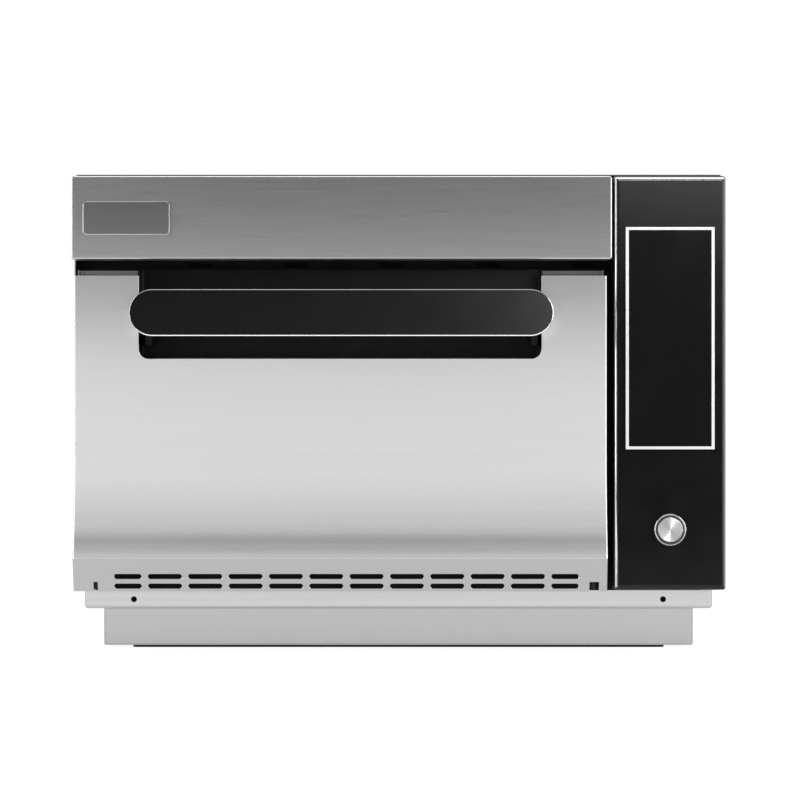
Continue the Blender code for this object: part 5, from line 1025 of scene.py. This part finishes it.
def pillow(name, node, frontBend, backBend):
    # A pill-shaped plate with its edges rolled over
    low, high, size, centre = boxOf(node, 0, 2)
    steps = sheets["bendSteps"]
    sections = [(inset, low.y + depth) for inset, depth in rolledEdge(frontBend, steps)[::-1]]
    sections += [(inset, high.y - depth) for inset, depth in rolledEdge(backBend, steps)]
    rings = []
    for inset, level in sections:
        outline = pill(size[0] - 2 * inset, size[1] - 2 * inset, centre, handle["endSteps"])
        rings.append(ringAt(outline, level))
    return smoothed(lofted(name, rings))


def makeHandle():
    face = pillow("handleFace", "handle_grip", handle["faceBend"], handle["faceBack"])
    dress(face, "handle", "door", "handle_black", "handle_grip")
    shell = pillow("handleShell", "handle_trim", handle["rimBend"], handle["shellBend"])
    dress(shell, "handleSteel", "door", "handle_steel", "handle_trim")
    for side in ("left", "right"):
        low, high, size, centre = boxOf("handle_post_" + side, 0, 2)
        sections = [(0, level, handle["postCorner"]) for level in (low.y, high.y)]
        post = stacked("handlePost" + side.capitalize(), size, centre, sections, steps=handle["postSteps"])
        # The posts take the near-black finish: painted shade under the handle
        dress(smoothed(post), "post", "door", "handle_steel", "handle_post_" + side)


makeBase()
makeWrap()
makeRear()
print("cabinet made")
makeFascia()
makePanel()
makeDisplay()
makeButton()
print("front covers and controls made")
makeDoorSkin()
makeRecess()
makeHandle()
print("door made")


# Studio


studio = {
    # Height on the front card, and the light it gives there
    "card": (
        (0.00, 0.84), (0.08, 0.76), (0.14, 1.03), (0.20, 1.30), (0.26, 1.29), (0.31, 1.00), (0.36, 0.52),
        (0.42, 0.22), (0.48, 0.12), (0.60, 0.09), (0.90, 0.12), (1.30, 0.18),
    ),
    "cardPlace": (0.0, -0.85, 0.65),
    "cardSize": (3.0, 1.3),
    "world": 0.55,
    "worldSeen": 1.05,  # what the camera sees of it
    "floor": "#909090",
    "floorCorners": ((-40, -12), (40, -12), (40, 60), (-40, 60)),
    "floorSeen": 0.88,  # the paper's own glow for the camera, so that it stays white
    "floorMirrored": 0.41,  # and in the steel
}
panelPieces = ("controlCover", "displayLine", "displayPane")
plainPieces = ("plinthPan", "chassisPan", "cabinetWrap")  # kept out of the side boxes' glare

# Place, aim, width and height, watts, and the pieces that the lamp leaves out or alone lights
lamps = {
    "topBox": ((0.0, -0.70, 1.55), (0.0, -0.10, 0.30), (1.6, 0.9), 8, "EXCLUDE", ("handleShell",)),
    "leftBox": ((-1.20, -0.80, 0.50), (-0.3, -0.2, 0.28), (0.80, 1.3), 12, "EXCLUDE", plainPieces),
    "rightBox": ((1.20, -0.80, 0.50), (0.3, -0.2, 0.28), (0.70, 1.3), 16, "EXCLUDE", plainPieces),
    "panelBox": ((0.50, -0.80, 0.63), (0.50, 0.0, 0.63), (0.60, 0.30), 1.3, "INCLUDE", panelPieces),
    "handleBox": ((0.38, -0.80, 0.36), (0.38, 0.0, 0.36), (0.34, 0.40), 6, "INCLUDE", ("handleFace",)),
    "recessBox": ((0.38, -0.80, 0.62), (0.38, 0.0, 0.62), (0.40, 0.26), 4, "INCLUDE", ("handleRecess",)),
    "lowBox": ((0.0, -0.62, 0.10), (0.0, -0.36, 0.32), (1.2, 0.56), 7, "INCLUDE", ("handleShell",)),
}
buttonLamp = {"fromCap": (0.109, -0.45, 0.168), "size": (0.06, 0.06), "power": 0.75}


def linkTo(light, state, names):
    # The light leaves the named pieces out, or lights them alone
    group = bpy.data.collections.new(light.name + "Link")
    for name in names:
        group.objects.link(bpy.data.objects[name])
    for link in group.collection_objects:
        link.light_linking.link_state = state
    light.light_linking.receiver_collection = group


def addLamp(name, place, aim, size, power, state, names):
    data = bpy.data.lights.new(name, "AREA")
    data.shape = "RECTANGLE"
    data.size, data.size_y = size
    data.energy = power
    light = bpy.data.objects.new(name, data)
    light.location = place
    direction = Vector(aim) - Vector(place)
    light.rotation_euler = direction.to_track_quat("-Z", "Y").to_euler()
    light.visible_camera = False
    bpy.context.scene.collection.objects.link(light)
    linkTo(light, state, names)


def plate(name, corners):
    mesh = bmesh.new()
    mesh.faces.new([mesh.verts.new(corner) for corner in corners])
    return makeObject(name, mesh)


def gradedCard(height):
    material = bpy.data.materials.new("gradedCard")
    material.use_nodes = True
    tree = material.node_tree
    tree.nodes.clear()
    place = addNode(tree, "ShaderNodeTexCoord")
    parts = addNode(tree, "ShaderNodeSeparateXYZ", {0: place.outputs["Object"]})
    share = addNode(tree, "ShaderNodeMath", {0: parts.outputs["Z"], 1: height}, operation="DIVIDE")
    ramp = addNode(tree, "ShaderNodeValToRGB", {0: share.outputs[0]})
    ramp.color_ramp.interpolation = "B_SPLINE"
    elements = ramp.color_ramp.elements
    stops = studio["card"]
    for level, light in stops[1:-1]:
        elements.new(level / height).color = (light, light, light, 1.0)
    for stop, light in ((elements[0], stops[0][1]), (elements[-1], stops[-1][1])):
        stop.color = (light, light, light, 1.0)
    glow = addNode(tree, "ShaderNodeEmission", {"Color": ramp.outputs[0], "Strength": 1.0})
    addNode(tree, "ShaderNodeOutputMaterial", {"Surface": glow.outputs[0]})
    return material


def addCard():
    # The steel mirrors it. The black panel doesn't, so that it stays dark.
    width, height = studio["cardSize"]
    x, y, z = studio["cardPlace"]
    sides = ((-0.5, -0.5), (0.5, -0.5), (0.5, 0.5), (-0.5, 0.5))
    card = plate("frontCard", [(x + a * width, y, z + b * height) for a, b in sides])
    card.data.materials.append(gradedCard(height))
    for rays in ("camera", "diffuse", "shadow", "transmission"):
        setattr(card, "visible_" + rays, False)
    linkTo(card, "EXCLUDE", panelPieces)


def addFloor():
    floor = plate("studioFloor", [(x, y, 0.0) for x, y in studio["floorCorners"]])
    material, tree, shader = startMaterial("paleSeamlessPaper", studio["floor"], 0.9, 0.0)
    shader.inputs["Specular IOR Level"].default_value = 0.0
    rays = addNode(tree, "ShaderNodeLightPath")
    settings = {0: rays.outputs["Is Camera Ray"], 1: studio["floorSeen"]}
    seen = addNode(tree, "ShaderNodeMath", settings, operation="MULTIPLY")
    settings = {0: rays.outputs["Is Glossy Ray"], 1: studio["floorMirrored"], 2: seen.outputs[0]}
    glow = addNode(tree, "ShaderNodeMath", settings, operation="MULTIPLY_ADD")
    shader.inputs["Emission Color"].default_value = (1.0, 1.0, 1.0, 1.0)
    tree.links.new(glow.outputs[0], shader.inputs["Emission Strength"])
    floor.data.materials.append(material)


def setWorld():
    world = bpy.data.worlds.new("studio")
    bpy.context.scene.world = world
    world.use_nodes = True
    tree = world.node_tree
    background = tree.nodes["Background"]
    seen = addNode(tree, "ShaderNodeLightPath").outputs["Is Camera Ray"]
    settings = {"Value": seen, "To Min": studio["world"], "To Max": studio["worldSeen"]}
    level = addNode(tree, "ShaderNodeMapRange", settings)
    background.inputs["Color"].default_value = (1.0, 1.0, 1.0, 1.0)
    tree.links.new(level.outputs[0], background.inputs["Strength"])


camera = {"place": (0.0, -3.305, 0.256), "lens": 137.8, "sensor": 36.0, "shiftX": -0.0044, "farthest": 200}


def setCamera():
    data = bpy.data.cameras.new("camera")
    data.lens = camera["lens"]
    data.sensor_width = camera["sensor"]
    data.shift_x = camera["shiftX"]
    data.clip_end = camera["farthest"]
    eye = bpy.data.objects.new("camera", data)
    eye.location = camera["place"]
    eye.rotation_euler = (math.radians(90), 0, 0)
    bpy.context.scene.collection.objects.link(eye)
    bpy.context.scene.camera = eye


addCard()
addFloor()
setWorld()
setCamera()
for name, settings in lamps.items():
    addLamp(name, *settings)
low, _, _, centre = boxOf("power_button_cap", 0, 2)
cap = Vector((centre[0], low.y, centre[1]))
place = cap + Vector(buttonLamp["fromCap"])
addLamp("buttonBox", place, cap, buttonLamp["size"], buttonLamp["power"], "INCLUDE", ("buttonCap",))
bpy.context.scene.view_settings.view_transform = "Standard"
print("studio made")
